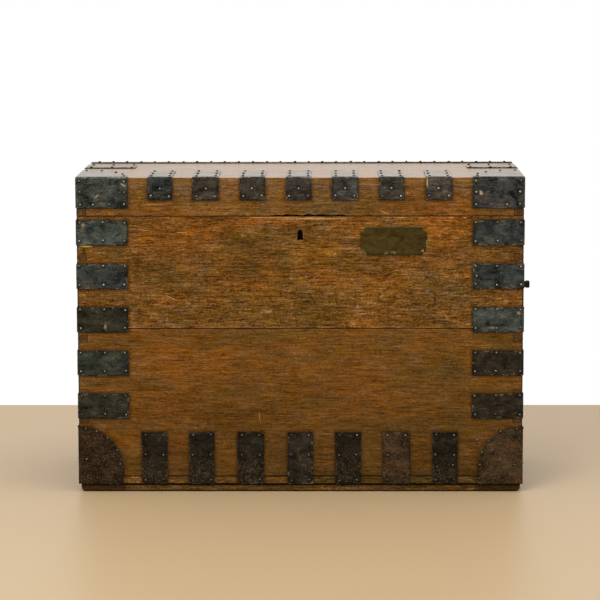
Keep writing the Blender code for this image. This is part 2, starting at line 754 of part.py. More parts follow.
def bail_path():
    """The bail's centre line, across from its front pin and down from the pins' level."""
    front_stud = MIDDLE - HANDLE_SPAN / 2
    pin_end = front_stud - STUD_THICKNESS / 2 - BAIL_END
    shoulder = front_stud + STUD_THICKNESS / 2 + BAIL_SHOULDER_ROOM
    arm = shoulder + BAIL_SHOULDER
    half = [(pin_end, HANDLE_LEVEL)]
    half += arc(
        (shoulder, HANDLE_LEVEL - BAIL_SHOULDER), (BAIL_SHOULDER, BAIL_SHOULDER), 90, 0, ARC_STEPS
    )
    corner_up = HANDLE_LEVEL - BAIL_DROP + BAIL_CORNER
    half += arc((arm + BAIL_CORNER, corner_up), (BAIL_CORNER, BAIL_CORNER), 180, 270, ARC_STEPS)
    other = [(2 * MIDDLE - along, up) for along, up in reversed(half)]
    return half + other


def stud_section(reach, headed):
    """Outline of a stud seen along the trunk: an eye that ends in a wider head, or is worn to the eye."""
    foot = HALF_WIDTH + GAP
    tip = HALF_WIDTH + reach
    neck = STUD_NECK / 2
    end = STUD_HEAD / 2 if headed else neck
    head_start = tip - STUD_HEAD_LENGTH
    low = HANDLE_LEVEL - end
    high = HANDLE_LEVEL + end
    nose = [
        (tip - STUD_ARRIS, low),
        (tip, low + STUD_ARRIS),
        (tip, high - STUD_ARRIS),
        (tip - STUD_ARRIS, high),
    ]
    if headed:
        nose.insert(0, (head_start, low))
        nose.insert(0, (head_start, HANDLE_LEVEL - neck))
        nose.append((head_start, high))
        nose.append((head_start, HANDLE_LEVEL + neck))
    return [(foot, HANDLE_LEVEL - neck), *nose, (foot, HANDLE_LEVEL + neck)]


def handles(shop):
    """On each end, two studs nailed through the board and a round bail that hangs from them.

    The left front stud has lost its head, so nothing shows beyond the left end from the front.
    """
    bore_length = STUD_THICKNESS + 2 * OVERRUN
    for side, across in ((-1, "left"), (1, "right")):
        axis_x = side * BAIL_AXIS_X
        for toward, along in ((-1, "front"), (1, "rear")):
            centre = MIDDLE + toward * HANDLE_SPAN / 2
            name = f"{across}_handle_{along}_stud"
            start = centre - STUD_THICKNESS / 2
            worn = (across, along) == ("left", "front")
            section = stud_section(WORN_STUD_REACH if worn else STUD_REACH, not worn)
            outline = mirrored(section, side)
            stud = shop.flat(name, [outline], "XZ", start, STUD_THICKNESS, "forged_iron")
            bore = shop.rod(
                name + "_eye",
                (axis_x, centre, HANDLE_LEVEL),
                "Y",
                BAIL_RADIUS + BAIL_ROOM,
                bore_length,
            )
            shop.cut(stud, bore)
        pivot = bpy.data.objects.new(f"{across}_bail_pivot", None)
        shop.pieces.objects.link(pivot)
        pivot.location = (axis_x, MIDDLE, HANDLE_LEVEL)
        curve = bpy.data.curves.new(f"{across}_bail_line", "CURVE")
        curve.dimensions = "3D"
        curve.bevel_depth = BAIL_RADIUS
        curve.bevel_resolution = EASED_STEPS
        curve.use_fill_caps = True
        path = bail_path()
        spline = curve.splines.new("POLY")
        spline.points.add(len(path) - 1)
        for point, (along_y, up) in zip(spline.points, path):
            point.co = (0, along_y - MIDDLE, up - HANDLE_LEVEL, 1)
        line = mesh_object(f"{across}_bail_line", curve, shop.pieces)
        bail = meshed_curve(line, f"{across}_bail", shop.pieces)
        bail.data.shade_smooth()
        shop.dress(bail, "forged_iron")
        bail.parent = pivot


def hinge_leaf(shop, name, ends, heights, notches, reach):
    """A leaf rounded at its far corners, notched where the other leaf's knuckles turn."""
    low, high = ends
    tab_end, far_end = heights
    up = 1 if far_end > tab_end else -1
    radii = (HINGE_LEAF_ROUND, HINGE_LEAF_ROUND)
    corner = far_end - up * HINGE_LEAF_ROUND
    outline = [(low, tab_end), (high, tab_end)]
    outline += arc((high - HINGE_LEAF_ROUND, corner), radii, 0, 90 * up, ARC_STEPS)
    outline += arc((low + HINGE_LEAF_ROUND, corner), radii, 90 * up, 180 * up, ARC_STEPS)
    near = BACK + GAP
    leaf = shop.flat(name, [outline], "XZ", near, HINGE_LEAF, "forged_iron")
    notch_end = HINGE_AXIS_Z + up * reach
    over_end = tab_end - up * OVERRUN
    for index, (start, end) in enumerate(notches):
        notch_low = (start, near - OVERRUN, min(notch_end, over_end))
        notch_high = (end, near + HINGE_LEAF + OVERRUN, max(notch_end, over_end))
        shop.cut(leaf, shop.block(f"{name}_notch_{index + 1}", notch_low, notch_high))
    return leaf


def hinges(shop):
    """Two hinges: the case leaf holds the outer knuckles and the pin, the lid leaf the middle one."""
    reach = KNUCKLE_RADIUS + HINGE_LEAF_ROOM
    room = KNUCKLE_ROOM / 2
    for side, word in ((-1, "left"), (1, "right")):
        centre = side * (HALF_WIDTH - HINGE_FROM_END)
        stations = [centre + HINGE_WIDTH * (share - 0.5) for share in KNUCKLE_SHARES]
        first, second, third, last = stations
        name = f"{word}_hinge_case_leaf"
        heights = (HINGE_AXIS_Z - HINGE_TAB_SHORT, HINGE_AXIS_Z - HINGE_CASE_LEAF)
        notches = [(second - KNUCKLE_ROOM, third + KNUCKLE_ROOM)]
        leaf = hinge_leaf(shop, name, (first, last), heights, notches, reach)
        for index, (low, high) in enumerate(((first, second - room), (third + room, last))):
            place = ((low + high) / 2, HINGE_AXIS_Y, HINGE_AXIS_Z)
            label = f"{name}_knuckle_{index + 1}"
            shop.join(leaf, shop.rod(label, place, "X", KNUCKLE_RADIUS, high - low))
        place = (centre, HINGE_AXIS_Y, HINGE_AXIS_Z)
        pin_length = HINGE_WIDTH - 2 * KNUCKLE_ROOM
        shop.join(leaf, shop.rod(name + "_pin", place, "X", HINGE_PIN_RADIUS, pin_length))
        name = f"{word}_hinge_lid_leaf"
        heights = (HINGE_AXIS_Z + HINGE_TAB_SHORT, HINGE_AXIS_Z + HINGE_LID_LEAF)
        notches = [
            (first - OVERRUN, second + KNUCKLE_ROOM),
            (third - KNUCKLE_ROOM, last + OVERRUN),
        ]
        leaf = hinge_leaf(shop, name, (first, last), heights, notches, reach)
        length = third - second - 2 * room
        knuckle = shop.rod(name + "_knuckle", place, "X", KNUCKLE_RADIUS, length)
        bore_radius = HINGE_PIN_RADIUS + HINGE_PIN_ROOM
        shop.cut(knuckle, shop.rod(name + "_bore", place, "X", bore_radius, HINGE_WIDTH))
        shop.join(leaf, knuckle)


def build():
    clear_scene()
    shop = Workshop()
    case_boards(shop)
    runners(shop)
    lid_boards(shop)
    corner_straps(shop)
    corner_plates(shop)
    foot_straps(shop)
    lid_straps(shop)
    lid_corner_caps(shop)
    brass_plate(shop)
    lock(shop)
    handles(shop)
    hinges(shop)


build()
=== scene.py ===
"""Looks of the iron-bound trunk: worn oak, nailed sheet iron, a bare brass plate, studio and camera."""

import math
import random

import bmesh
import bpy
from mathutils import Matrix, Vector, noise

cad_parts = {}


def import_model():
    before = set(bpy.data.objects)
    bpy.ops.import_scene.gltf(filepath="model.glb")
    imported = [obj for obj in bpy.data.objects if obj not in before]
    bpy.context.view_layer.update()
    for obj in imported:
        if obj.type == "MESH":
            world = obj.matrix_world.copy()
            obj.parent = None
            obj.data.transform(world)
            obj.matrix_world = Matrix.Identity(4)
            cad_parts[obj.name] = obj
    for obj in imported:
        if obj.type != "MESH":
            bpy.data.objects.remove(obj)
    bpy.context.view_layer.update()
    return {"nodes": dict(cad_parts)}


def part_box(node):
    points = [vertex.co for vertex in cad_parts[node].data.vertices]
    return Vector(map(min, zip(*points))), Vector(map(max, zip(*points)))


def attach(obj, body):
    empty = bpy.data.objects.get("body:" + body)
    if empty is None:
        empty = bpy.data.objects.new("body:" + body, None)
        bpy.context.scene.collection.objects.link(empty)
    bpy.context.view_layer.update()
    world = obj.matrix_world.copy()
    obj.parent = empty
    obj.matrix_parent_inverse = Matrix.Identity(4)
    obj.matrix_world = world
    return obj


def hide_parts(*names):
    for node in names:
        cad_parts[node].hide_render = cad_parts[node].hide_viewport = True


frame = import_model()

# Photograph's frame and the camera fitted to it
FRAME_PIXELS = 600
SENSOR_WIDTH = 36.0
FOCAL_PIXELS = 2766.04
CAMERA_PLACE = Vector((0.04696, -4.83357, 0.95156))
CAMERA_PITCH = math.radians(7.5437)
CAMERA_YAW = math.radians(-0.5798)
CAMERA_ROLL = math.radians(-0.1108)
CAMERA_REACH = 60.0

# Planes of the trunk, read from the frame
CASE_LOW, CASE_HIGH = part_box("bottom_board")
HALF_WIDTH = CASE_HIGH.x
FRONT, BACK = CASE_LOW.y, CASE_HIGH.y
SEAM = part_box("front_board_lower")[1].z
UPPER_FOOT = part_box("front_board_upper")[0].z
WALL_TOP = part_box("front_board_upper")[1].z
LID_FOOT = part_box("lid_front_rail")[0].z
LID_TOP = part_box("lid_top_board")[1].z

UP, DOWN = Vector((0, 0, 1)), Vector((0, 0, -1))
FORWARD, BACKWARD = Vector((0, -1, 0)), Vector((0, 1, 0))
LEFT, RIGHT = Vector((-1, 0, 0)), Vector((1, 0, 0))
ALL_ROUND = (FORWARD, LEFT, RIGHT, BACKWARD)
SIDES = ((-1, "left"), (1, "right"))

# Closer points of a solid are one point, and flatter edges of its faces are left out
SAME_POINT = 1e-5
FLAT_ANGLE = math.radians(0.5)

# Sheet iron
GAP = 0.0003
SHEET = 0.0012
IRON_OUT = GAP + SHEET
LID_PLANE = LID_TOP + IRON_OUT
IRON_STEP = 0.0032
IRON_RIM = 0.00032
IRON_RIM_ANGLE = math.radians(50)
IRON_BULGE = 0.00045
IRON_BULGE_SPAN = 0.030
IRON_BULGE_SHIFT = Vector((3.1, 7.7, 1.3))
IRON_WARP = 0.0013
IRON_WARP_SPAN = 0.014
IRON_WARP_SEED = 7
FOLD_RADIUS = 0.0024
FOLD_STATIONS = (0.0, 0.4, 0.8, 1.2, 1.7)
FOLD_FADE = 0.006
# Painted shade along the folds of an iron
FOLD_SHADE = 0.8
# Part of a normal along an axis from which a point counts as on a fold, where two axes have it
FOLDED = 0.25
# The dent round a nail: its size, where it ends and how steep it is in that size, and its dirt and painted
# shade
NAIL_DIMPLE = 0.0065
DIMPLE_REACH = 2.5
DIMPLE_STEEPNESS = 1.6
DIMPLE_DIRT_AND_SHADE = 0.6

# Nails
NAIL_RADIUS = 0.0025
NAIL_HEIGHT = 0.0017
NAIL_SIDES = 12
NAIL_JITTER = 0.0008
NAIL_LEAN = 0.10
# How much of its painted highlight a head has at the floor, and the height over which the rest of it comes in
FOOT_NAIL_SHINE = 0.30
FOOT_NAIL_FADE = 0.45
# Radius and height of each ring of a head, from its rim to its crown
NAIL_RINGS = ((1.0, -0.25), (1.0, 0.16), (0.88, 0.52), (0.62, 0.82), (0.32, 0.96))


def srgb(red, green, blue):
    """Linear colour of an sRGB colour given from 0 to 255."""
    linear = []
    for part in (red, green, blue):
        share = part / 255
        linear.append(share / 12.92 if share <= 0.04045 else ((share + 0.055) / 1.055) ** 2.4)
    return (*linear, 1.0)


class Shade:
    """Builds the node tree of one material."""

    def __init__(self, name):
        self.material = bpy.data.materials.new(name)
        self.material.use_nodes = True
        self.nodes = self.material.node_tree.nodes
        self.links = self.material.node_tree.links
        self.shader = self.nodes["Principled BSDF"]
        self.coordinates = self.nodes.new("ShaderNodeTexCoord").outputs["Object"]

    def feed(self, socket, value):
        if isinstance(value, bpy.types.NodeSocket):
            self.links.new(value, socket)
        else:
            socket.default_value = value

    def fill(self, node, values):
        """Feeds a node's sockets, named with underscores for spaces."""
        for name, value in values.items():
            self.feed(node.inputs[name.replace("_", " ")], value)
        return node

    def node(self, kind, **values):
        return self.fill(self.nodes.new("ShaderNode" + kind), values)

    def set(self, **values):
        """Sets the shader's own sockets."""
        self.fill(self.shader, values)

    def mapped(self, scale=(1.0, 1.0, 1.0), turn=0.0, shift=(0.0, 0.0, 0.0), source=None):
        source = source or self.coordinates
        turned = (0.0, 0.0, turn)
        return self.node(
            "Mapping", Vector=source, Scale=scale, Rotation=turned, Location=shift
        ).outputs["Vector"]

    def layer(self, source, scale, detail=3.0, roughness=0.5, distortion=0.0):
        """Noise over a place, or over the object where source is None, with a scale for each axis."""
        place = self.mapped(scale, source=source)
        return self.node(
            "TexNoise", Vector=place, Scale=1.0, Detail=detail, Roughness=roughness, Distortion=distortion
        ).outputs["Fac"]

    def spread(self, value, low, high, to_low=0.0, to_high=1.0):
        """Stretches low to high over to_low to to_high, and clamps what lies outside."""
        limits = {"From_Min": low, "From_Max": high, "To_Min": to_low, "To_Max": to_high}
        return self.node("MapRange", Value=value, **limits).outputs["Result"]

    def math(self, operation, first, second):
        node = self.nodes.new("ShaderNodeMath")
        node.operation = operation
        self.feed(node.inputs[0], first)
        self.feed(node.inputs[1], second)
        return node.outputs["Value"]

    def times(self, *values):
        result = values[0]
        for value in values[1:]:
            result = self.math("MULTIPLY", result, value)
        return result

    def sum(self, *shares):
        """Weighted sum of pairs of a weight and a value."""
        result = 0.0
        for weight, value in shares:
            result = self.math("ADD", result, self.math("MULTIPLY", value, weight))
        return result

    def ramp(self, value, stops):
        """Colour that runs through stops of a share and a colour."""
        node = self.node("ValToRGB", Fac=value)
        elements = node.color_ramp.elements
        elements[0].position, elements[0].color = stops[0]
        elements[1].position, elements[1].color = stops[-1]
        for share, colour in stops[1:-1]:
            elements.new(share).color = colour
        return node.outputs["Color"]

    def mix(self, share, first, second, blend="MIX"):
        node = self.nodes.new("ShaderNodeMix")
        node.data_type = "RGBA"
        node.blend_type = blend
        self.feed(node.inputs["Factor"], share)
        self.feed(node.inputs[6], first)
        self.feed(node.inputs[7], second)
        return node.outputs[2]

    def tint(self, share, colour, tint):
        return self.mix(share, colour, tint, "MULTIPLY")

    def along(self, axis):
        """Object coordinate along X, Y or Z, in metres."""
        return self.node("SeparateXYZ", Vector=self.coordinates).outputs[axis]

    def mark(self, name):
        """A value that the mesh holds at its points."""
        node = self.nodes.new("ShaderNodeAttribute")
        node.attribute_name = name
        return node.outputs["Fac"]

    def spot(self, centre, radii, core, turn):
        """1 inside an ellipsoid turned about Y, fading to 0 between its core and its edge."""
        turned = (0.0, -turn, 0.0)
        place = self.node(
            "Mapping", Vector=self.coordinates, Location=centre, Rotation=turned, Scale=radii
        )
        place.vector_type = "TEXTURE"
        node = self.nodes.new("ShaderNodeVectorMath")
        node.operation = "LENGTH"
        self.feed(node.inputs[0], place.outputs["Vector"])
        return self.spread(node.outputs["Value"], core, 1.0, 1.0, 0.0)

    def bump(self, height, strength, distance):
        node = self.node("Bump", Height=height, Strength=strength, Distance=distance)
        self.set(Normal=node.outputs["Normal"])


# Oak from its darkest pores to its lightest grain, as the photograph shows it
OAK_STOPS = (
    (0.00, srgb(42, 27, 0)),
    (0.25, srgb(84, 53, 9)),
    (0.48, srgb(116, 77, 28)),
    (0.74, srgb(140, 98, 49)),
    (1.00, srgb(180, 137, 88)),
)
OAK_PORE = srgb(46, 29, 6)
OAK_RAW = srgb(168, 128, 82)
OAK_RAW_DARK = srgb(112, 78, 44)
OAK_WORN = srgb(190, 142, 86)
OAK_CHIP = srgb(216, 178, 66)
OAK_END = srgb(62, 46, 28)
# Pale tone of the faded top, which also paints the sheen of its glossy top
OAK_FADED_SHEEN = srgb(190, 148, 90)
# Near black for grime, and for painted shade in seams, in gaps and under parts
GRIME_AND_SHADE = srgb(14, 11, 8)
# Tints that multiply the oak, in linear parts
WARM_TINT = (1.24, 1.12, 0.98, 1.0)
OLIVE_TINT = (0.78, 0.92, 1.06, 1.0)
DUSTY_TINT = (0.98, 1.06, 1.36, 1.0)
TAWNY_TINT = (1.05, 0.97, 0.58, 1.0)
ASH_TINT = (0.96, 1.01, 1.45, 1.0)
FOOT_TINT = (0.62, 0.66, 0.72, 1.0)
DULL_TINT = (0.60, 0.68, 0.70, 1.0)
LID_SHEEN = (0.93, 0.80, 0.66, 1.0)

# Noise in the oak: scales along the grain, across it and upward, then detail, roughness, distortion
OAK_LAYERS = {
    "broad": ((6.0, 9.0, 15.0), 3.0, 0.6, 0.8),
    "patch": ((9.0, 12.0, 24.0), 3.0, 0.6, 1.0),
    "mottle": ((38.0, 90.0, 95.0), 4.0, 0.62, 0.6),
    "streak": ((30.0, 230.0, 320.0), 4.0, 0.60, 0.5),
    "dash": ((110.0, 420.0, 560.0), 2.0, 0.6, 0.3),
    "fleck": ((230.0, 560.0, 700.0), 1.0, 0.5, 0.2),
    "hue": ((34.0, 50.0, 58.0), 3.0, 0.6, 0.5),
    "line": ((13.0, 210.0, 400.0), 3.0, 0.55, 0.5),
    "tick": ((520.0, 300.0, 110.0), 3.0, 0.6, 0.5),
    "ragged": ((30.0, 70.0, 65.0), 4.0, 0.7, 0.0),
}
GRAIN_WEIGHTS = (("mottle", 0.09), ("streak", 0.28), ("dash", 0.29), ("fleck", 0.22), ("patch", 0.12))
# How dark and how light the grain is around its middle, and how strongly each feature shows
GRAIN_DARK = 0.11
GRAIN_LIGHT = 0.12
TICK_STRENGTH = 0.20
LINE_STRENGTH = 0.45
PORE_STRENGTH = 0.55
HALO_STRENGTH = 0.80
BARE_STRENGTH = 0.92
FADED_SHEEN_STRENGTH = 0.32
# The upper front board is figured from the first of these levels down to the second
FIGURE_LEVELS = (0.400, 0.350)
# The lower front board darkens from the first of these levels down to the second
FOOT_LEVELS = (0.24, 0.03)

# Zones of the front that aged to a hue of their own, by name: the tint, then the places, each with its
# centre, its radii and its strength
ZONES = {
    "orange": ((1.32, 1.00, 0.66, 1.0), (
        (-0.215, 0.445, 0.100, 0.060, 1.00), (-0.060, 0.468, 0.080, 0.014, 0.90),
        (0.220, 0.490, 0.100, 0.034, 1.00), (0.260, 0.452, 0.070, 0.045, 0.95),
        (0.092, 0.462, 0.060, 0.022, 1.00), (-0.247, 0.492, 0.040, 0.016, 0.80),
        (-0.190, 0.235, 0.090, 0.050, 0.60), (-0.210, 0.160, 0.050, 0.050, 0.40),
        (0.180, 0.405, 0.120, 0.024, 0.45), (-0.070, 0.367, 0.016, 0.026, 0.80),
        (0.040, 0.372, 0.024, 0.022, 0.80), (-0.225, 0.330, 0.024, 0.010, 0.90),
        (-0.128, 0.070, 0.022, 0.040, 0.60), (-0.208, 0.070, 0.022, 0.040, 0.80),
        (-0.042, 0.070, 0.018, 0.040, 0.50), (0.204, 0.065, 0.020, 0.036, 0.50),
        (0.110, 0.165, 0.080, 0.040, 0.30),
    )),
    "amber": ((1.46, 1.38, 0.90, 1.0), (
        (0.033, 0.419, 0.080, 0.026, 1.00), (0.150, 0.345, 0.055, 0.040, 0.50),
        (-0.250, 0.327, 0.060, 0.016, 0.45), (-0.050, 0.330, 0.050, 0.040, 0.35),
        (0.110, 0.289, 0.120, 0.006, 0.60), (0.100, 0.240, 0.070, 0.024, 0.35),
        (0.240, 0.455, 0.070, 0.024, 0.50), (0.300, 0.370, 0.060, 0.030, 0.40),
        (-0.285, 0.060, 0.030, 0.060, 0.55), (0.120, 0.060, 0.020, 0.050, 0.35),
        (0.300, 0.075, 0.030, 0.050, 0.30),
    )),
    "honey": ((1.46, 1.38, 0.90, 1.0), (
        (0.020, 0.345, 0.170, 0.120, 0.22), (0.190, 0.455, 0.150, 0.030, 0.35),
        (-0.160, 0.455, 0.180, 0.040, 0.25),
    )),
    "rosy": ((1.05, 1.13, 1.66, 1.0), (
        (-0.010, 0.525, 0.420, 0.026, 0.95),
    )),
    "ashen": ((0.84, 1.04, 1.50, 1.0), (
        (0.255, 0.340, 0.110, 0.060, 1.00), (-0.250, 0.345, 0.100, 0.050, 0.40),
    )),
    "moss": ((0.48, 0.64, 0.46, 1.0), (
        (-0.080, 0.432, 0.060, 0.022, 0.55), (-0.086, 0.387, 0.036, 0.036, 0.90),
        (-0.030, 0.397, 0.022, 0.036, 0.90), (0.033, 0.325, 0.090, 0.040, 0.40),
        (-0.190, 0.302, 0.090, 0.030, 0.40), (-0.069, 0.150, 0.150, 0.070, 0.35),
        (0.262, 0.185, 0.045, 0.100, 0.40), (0.000, 0.264, 0.330, 0.020, 0.40),
        (0.060, 0.021, 0.220, 0.016, 0.90), (-0.200, 0.021, 0.150, 0.012, 0.35),
        (0.270, 0.021, 0.150, 0.014, 0.90), (0.000, 0.310, 0.300, 0.030, 0.15),
        (-0.240, 0.372, 0.070, 0.020, 0.35), (0.335, 0.262, 0.050, 0.030, 0.45),
        (0.335, 0.185, 0.060, 0.030, 0.40), (-0.335, 0.262, 0.050, 0.030, 0.25),
    )),
}
ZONE_CORE = 0.3

# Marks on the front: centre, radii, turn and strength. The stains are dark, the scratches and the chip light.
STAINS = (
    (-0.065, 0.390, 0.060, 0.040, 0.0, 0.30), (-0.010, 0.450, 0.060, 0.010, 0.0, 0.45),
    (-0.080, 0.434, 0.050, 0.010, 0.0, 0.35), (0.189, 0.340, 0.0030, 0.0120, 0.1, 1.3),
    (0.230, 0.334, 0.0034, 0.0110, -0.1, 1.5), (0.229, 0.325, 0.0100, 0.0026, 0.2, 1.1),
    (0.148, 0.375, 0.0110, 0.0030, 0.45, 1.2), (0.135, 0.342, 0.0036, 0.0040, 0.0, 1.0),
    (0.146, 0.350, 0.0120, 0.0026, 0.60, 0.8), (0.161, 0.337, 0.0022, 0.0120, 0.0, 1.1),
    (0.218, 0.373, 0.0070, 0.0050, 0.3, 0.9), (0.196, 0.326, 0.0120, 0.0024, -0.1, 1.2),
    (0.094, 0.333, 0.0026, 0.0200, 0.0, 0.9), (0.062, 0.330, 0.0026, 0.0180, 0.1, 0.7),
    (0.130, 0.318, 0.060, 0.018, 0.0, 0.25), (-0.010, 0.312, 0.060, 0.018, 0.0, 0.25),
    (-0.3677, 0.417, 0.0032, 0.0075, 0.1, 1.0), (-0.209, 0.2293, 0.0050, 0.0035, 0.3, 1.0),
    (-0.132, 0.2379, 0.0060, 0.0022, 0.2, 0.9), (-0.3710, 0.2650, 0.0090, 0.0062, 0.0, 1.3),
    (-0.300, 0.2300, 0.0180, 0.0014, 0.05, 0.8), (0.316, 0.398, 0.0140, 0.0012, 0.0, 0.6),
)
SCRATCHES = (
    (-0.267, 0.4528, 0.0100, 0.0009, -0.05, 0.75), (-0.2006, 0.4486, 0.0120, 0.0010, 0.08, 0.85),
    (-0.204, 0.4314, 0.0070, 0.0008, 0.0, 0.5), (-0.248, 0.3412, 0.0130, 0.0009, 0.06, 0.7),
    (-0.220, 0.3365, 0.0140, 0.0010, -0.45, 0.8), (0.1425, 0.4827, 0.0110, 0.0010, -0.42, 0.9),
    (0.174, 0.3977, 0.0120, 0.0009, 0.0, 0.6), (-0.0700, 0.1300, 0.0008, 0.0140, 0.10, 0.7),
    (-0.364, 0.4256, 0.0110, 0.0012, 0.0, 1.0), (0.196, 0.4480, 0.0060, 0.0010, 0.0, 0.5),
    (-0.073, 0.4738, 0.0150, 0.0012, 0.0, 1.0), (0.020, 0.4718, 0.0700, 0.0016, 0.01, 0.9),
    (0.171, 0.4738, 0.0120, 0.0012, 0.0, 1.0), (0.256, 0.4738, 0.0060, 0.0014, 0.0, 1.0),
    (0.280, 0.4735, 0.0040, 0.0012, 0.0, 1.0),
)
CHIPS = ((-0.3640, 0.4247, 0.0145, 0.0017, 0.0, 1.0),)
MARK_MARGIN = 0.004
MARK_DEPTH = 0.02
MARK_CORE = 0.25


def zone_share(places, point):
    """How strongly the places of one zone cover a point of the front."""
    bare = 1.0
    for across, up, half_length, half_height, strength in places:
        reach = math.hypot((point.x - across) / half_length, (point.z - up) / half_height)
        bare *= 1 - strength * min(1.0, max(0.0, (1 - reach) / (1 - ZONE_CORE)))
    return 1 - bare


def front_marks(shade, colour, marks, levels, tone, ragged):
    """Lays the marks of the front that lie between two levels, in one tone."""
    for across, up, half_length, half_height, turn, strength in marks:
        if levels[0] - MARK_MARGIN < up < levels[1] + MARK_MARGIN:
            radii = (half_length, MARK_DEPTH, half_height)
            soft = shade.spot((across, FRONT, up), radii, MARK_CORE, turn)
            colour = shade.mix(shade.times(soft, ragged, strength), colour, tone)
    return colour


def oak_layers(shade, grain, shift, short):
    """The noise in one board, its grain turned and shifted, its streaks longer where short is under 1."""
    turn = math.pi / 2 if grain == "Y" else 0.0
    board = shade.mapped(turn=turn, shift=shift)
    layers = {}
    for name, (scale, *rest) in OAK_LAYERS.items():
        drawn = short if name in ("streak", "dash") else 1.0
        layers[name] = shade.layer(board, (scale[0] * drawn, *scale[1:]), *rest)
    return layers


def oak_grain(shade, layers, front):
    """How light the grain is at a point, with ticks across it where it is figured."""
    tone = shade.sum(*((weight, layers[name]) for name, weight in GRAIN_WEIGHTS))
    figured = shade.spread(layers["patch"], 0.48, 0.62)
    if front == "upper":
        swirled = shade.spread(shade.along("Z"), *FIGURE_LEVELS, 0.0, 0.9)
        figured = shade.math("MAXIMUM", figured, swirled)
    ticks = shade.times(shade.math("SUBTRACT", layers["tick"], 0.5), figured, TICK_STRENGTH)
    return shade.math("ADD", tone, ticks)


def oak_hues(shade, colour, layers, warm, olive):
    """Broad olive and warm patches, and a finer drift between tawny and ashen."""
    broad, hue = layers["broad"], layers["hue"]
    for share, tint in (
        (shade.times(shade.spread(broad, 0.42, 0.60), olive), OLIVE_TINT),
        (shade.times(shade.spread(broad, 0.54, 0.40), warm), WARM_TINT),
        (shade.spread(hue, 0.50, 0.62), TAWNY_TINT),
        (shade.spread(hue, 0.50, 0.38), ASH_TINT),
    ):
        colour = shade.tint(share, colour, tint)
    return colour


def oak_wear(shade, colour, layers, tone):
    """End grain, worn arrises, bare faces, the faded top with its painted sheen, and grime with painted
    shade, where the mesh has their marks.
    """
    uneven = shade.spread(layers["mottle"], 0.35, 0.6, 0.30, 0.85)
    colour = shade.mix(shade.times(shade.mark("end_grain"), uneven), colour, OAK_END)
    ragged = shade.spread(layers["streak"], 0.40, 0.56)
    colour = shade.mix(shade.times(shade.mark("wear"), ragged), colour, OAK_WORN)
    raw = shade.mix(shade.spread(tone, 0.40, 0.58), OAK_RAW_DARK, OAK_RAW)
    colour = shade.mix(shade.times(shade.mark("bare"), BARE_STRENGTH), colour, raw)
    colour = shade.mix(shade.times(shade.mark("faded"), FADED_SHEEN_STRENGTH), colour, OAK_FADED_SHEEN)
    return shade.mix(shade.mark("grime_and_shade"), colour, GRIME_AND_SHADE)


def oak(
    node, grain, shift, warm=0.5, olive=0.5, dusty=0.0, front="", gloss=0.0, contrast=1.0, dull=0.0,
    short=1.0,
):
    """Old varnished oak: short dark pores in broken streaks, with marks for wear and bare faces.

    front names the board where it carries the zones and marks seen in the photograph.
    """
    shade = Shade("oak_of_" + node)
    levels = [corner.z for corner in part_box(node)]
    layers = oak_layers(shade, grain, shift, short)
    mottle, streak = layers["mottle"], layers["streak"]
    tone = oak_grain(shade, layers, front)
    light = shade.spread(tone, 0.5 - GRAIN_DARK / contrast, 0.5 + GRAIN_LIGHT / contrast)
    colour = shade.ramp(light, OAK_STOPS)
    lines = shade.times(shade.spread(layers["line"], 0.585, 0.66), LINE_STRENGTH)
    colour = shade.mix(lines, colour, OAK_PORE)
    colour = oak_hues(shade, colour, layers, warm, olive)
    if front:
        uneven = shade.spread(mottle, 0.38, 0.56, 0.45, 1.0)
        for zone, (tint, _) in ZONES.items():
            colour = shade.tint(shade.times(shade.mark(zone), uneven), colour, tint)
    if dusty:
        colour = shade.tint(dusty, colour, DUSTY_TINT)
    pores = shade.times(shade.spread(layers["dash"], 0.57, 0.68), shade.spread(streak, 0.56, 0.44))
    colour = shade.mix(shade.times(pores, PORE_STRENGTH), colour, OAK_PORE)
    if front:
        ragged = shade.spread(layers["ragged"], 0.36, 0.58)
        colour = front_marks(shade, colour, STAINS, levels, OAK_PORE, ragged)
        broken = shade.spread(layers["tick"], 0.35, 0.55, 0.3, 1.7)
        colour = front_marks(shade, colour, SCRATCHES, levels, OAK_WORN, broken)
    if front == "lower":
        colour = shade.tint(shade.spread(shade.along("Z"), *FOOT_LEVELS), colour, FOOT_TINT)
    if dull:
        colour = shade.tint(dull, colour, DULL_TINT)
    # Dark stain and painted shadow beside the irons
    halo = shade.times(shade.mark("halo"), shade.spread(streak, 0.30, 0.55, 0.45, 1.0), HALO_STRENGTH)
    colour = shade.mix(halo, colour, OAK_PORE)
    if front:
        colour = front_marks(shade, colour, CHIPS, levels, OAK_CHIP, 1.0)
    colour = oak_wear(shade, colour, layers, tone)
    rough = shade.spread(streak, 0.3, 0.7, 0.46 - 1.2 * gloss, 0.36 - gloss)
    shade.set(Base_Color=colour, Roughness=rough, Specular_IOR_Level=0.07 + 0.9 * gloss)
    if gloss:
        shade.set(Specular_Tint=LID_SHEEN)
    relief = shade.math("SUBTRACT", shade.times(streak, 0.7), shade.times(pores, 0.8))
    shade.bump(relief, 0.06 if gloss else 0.5, 0.0005)
    return shade.material


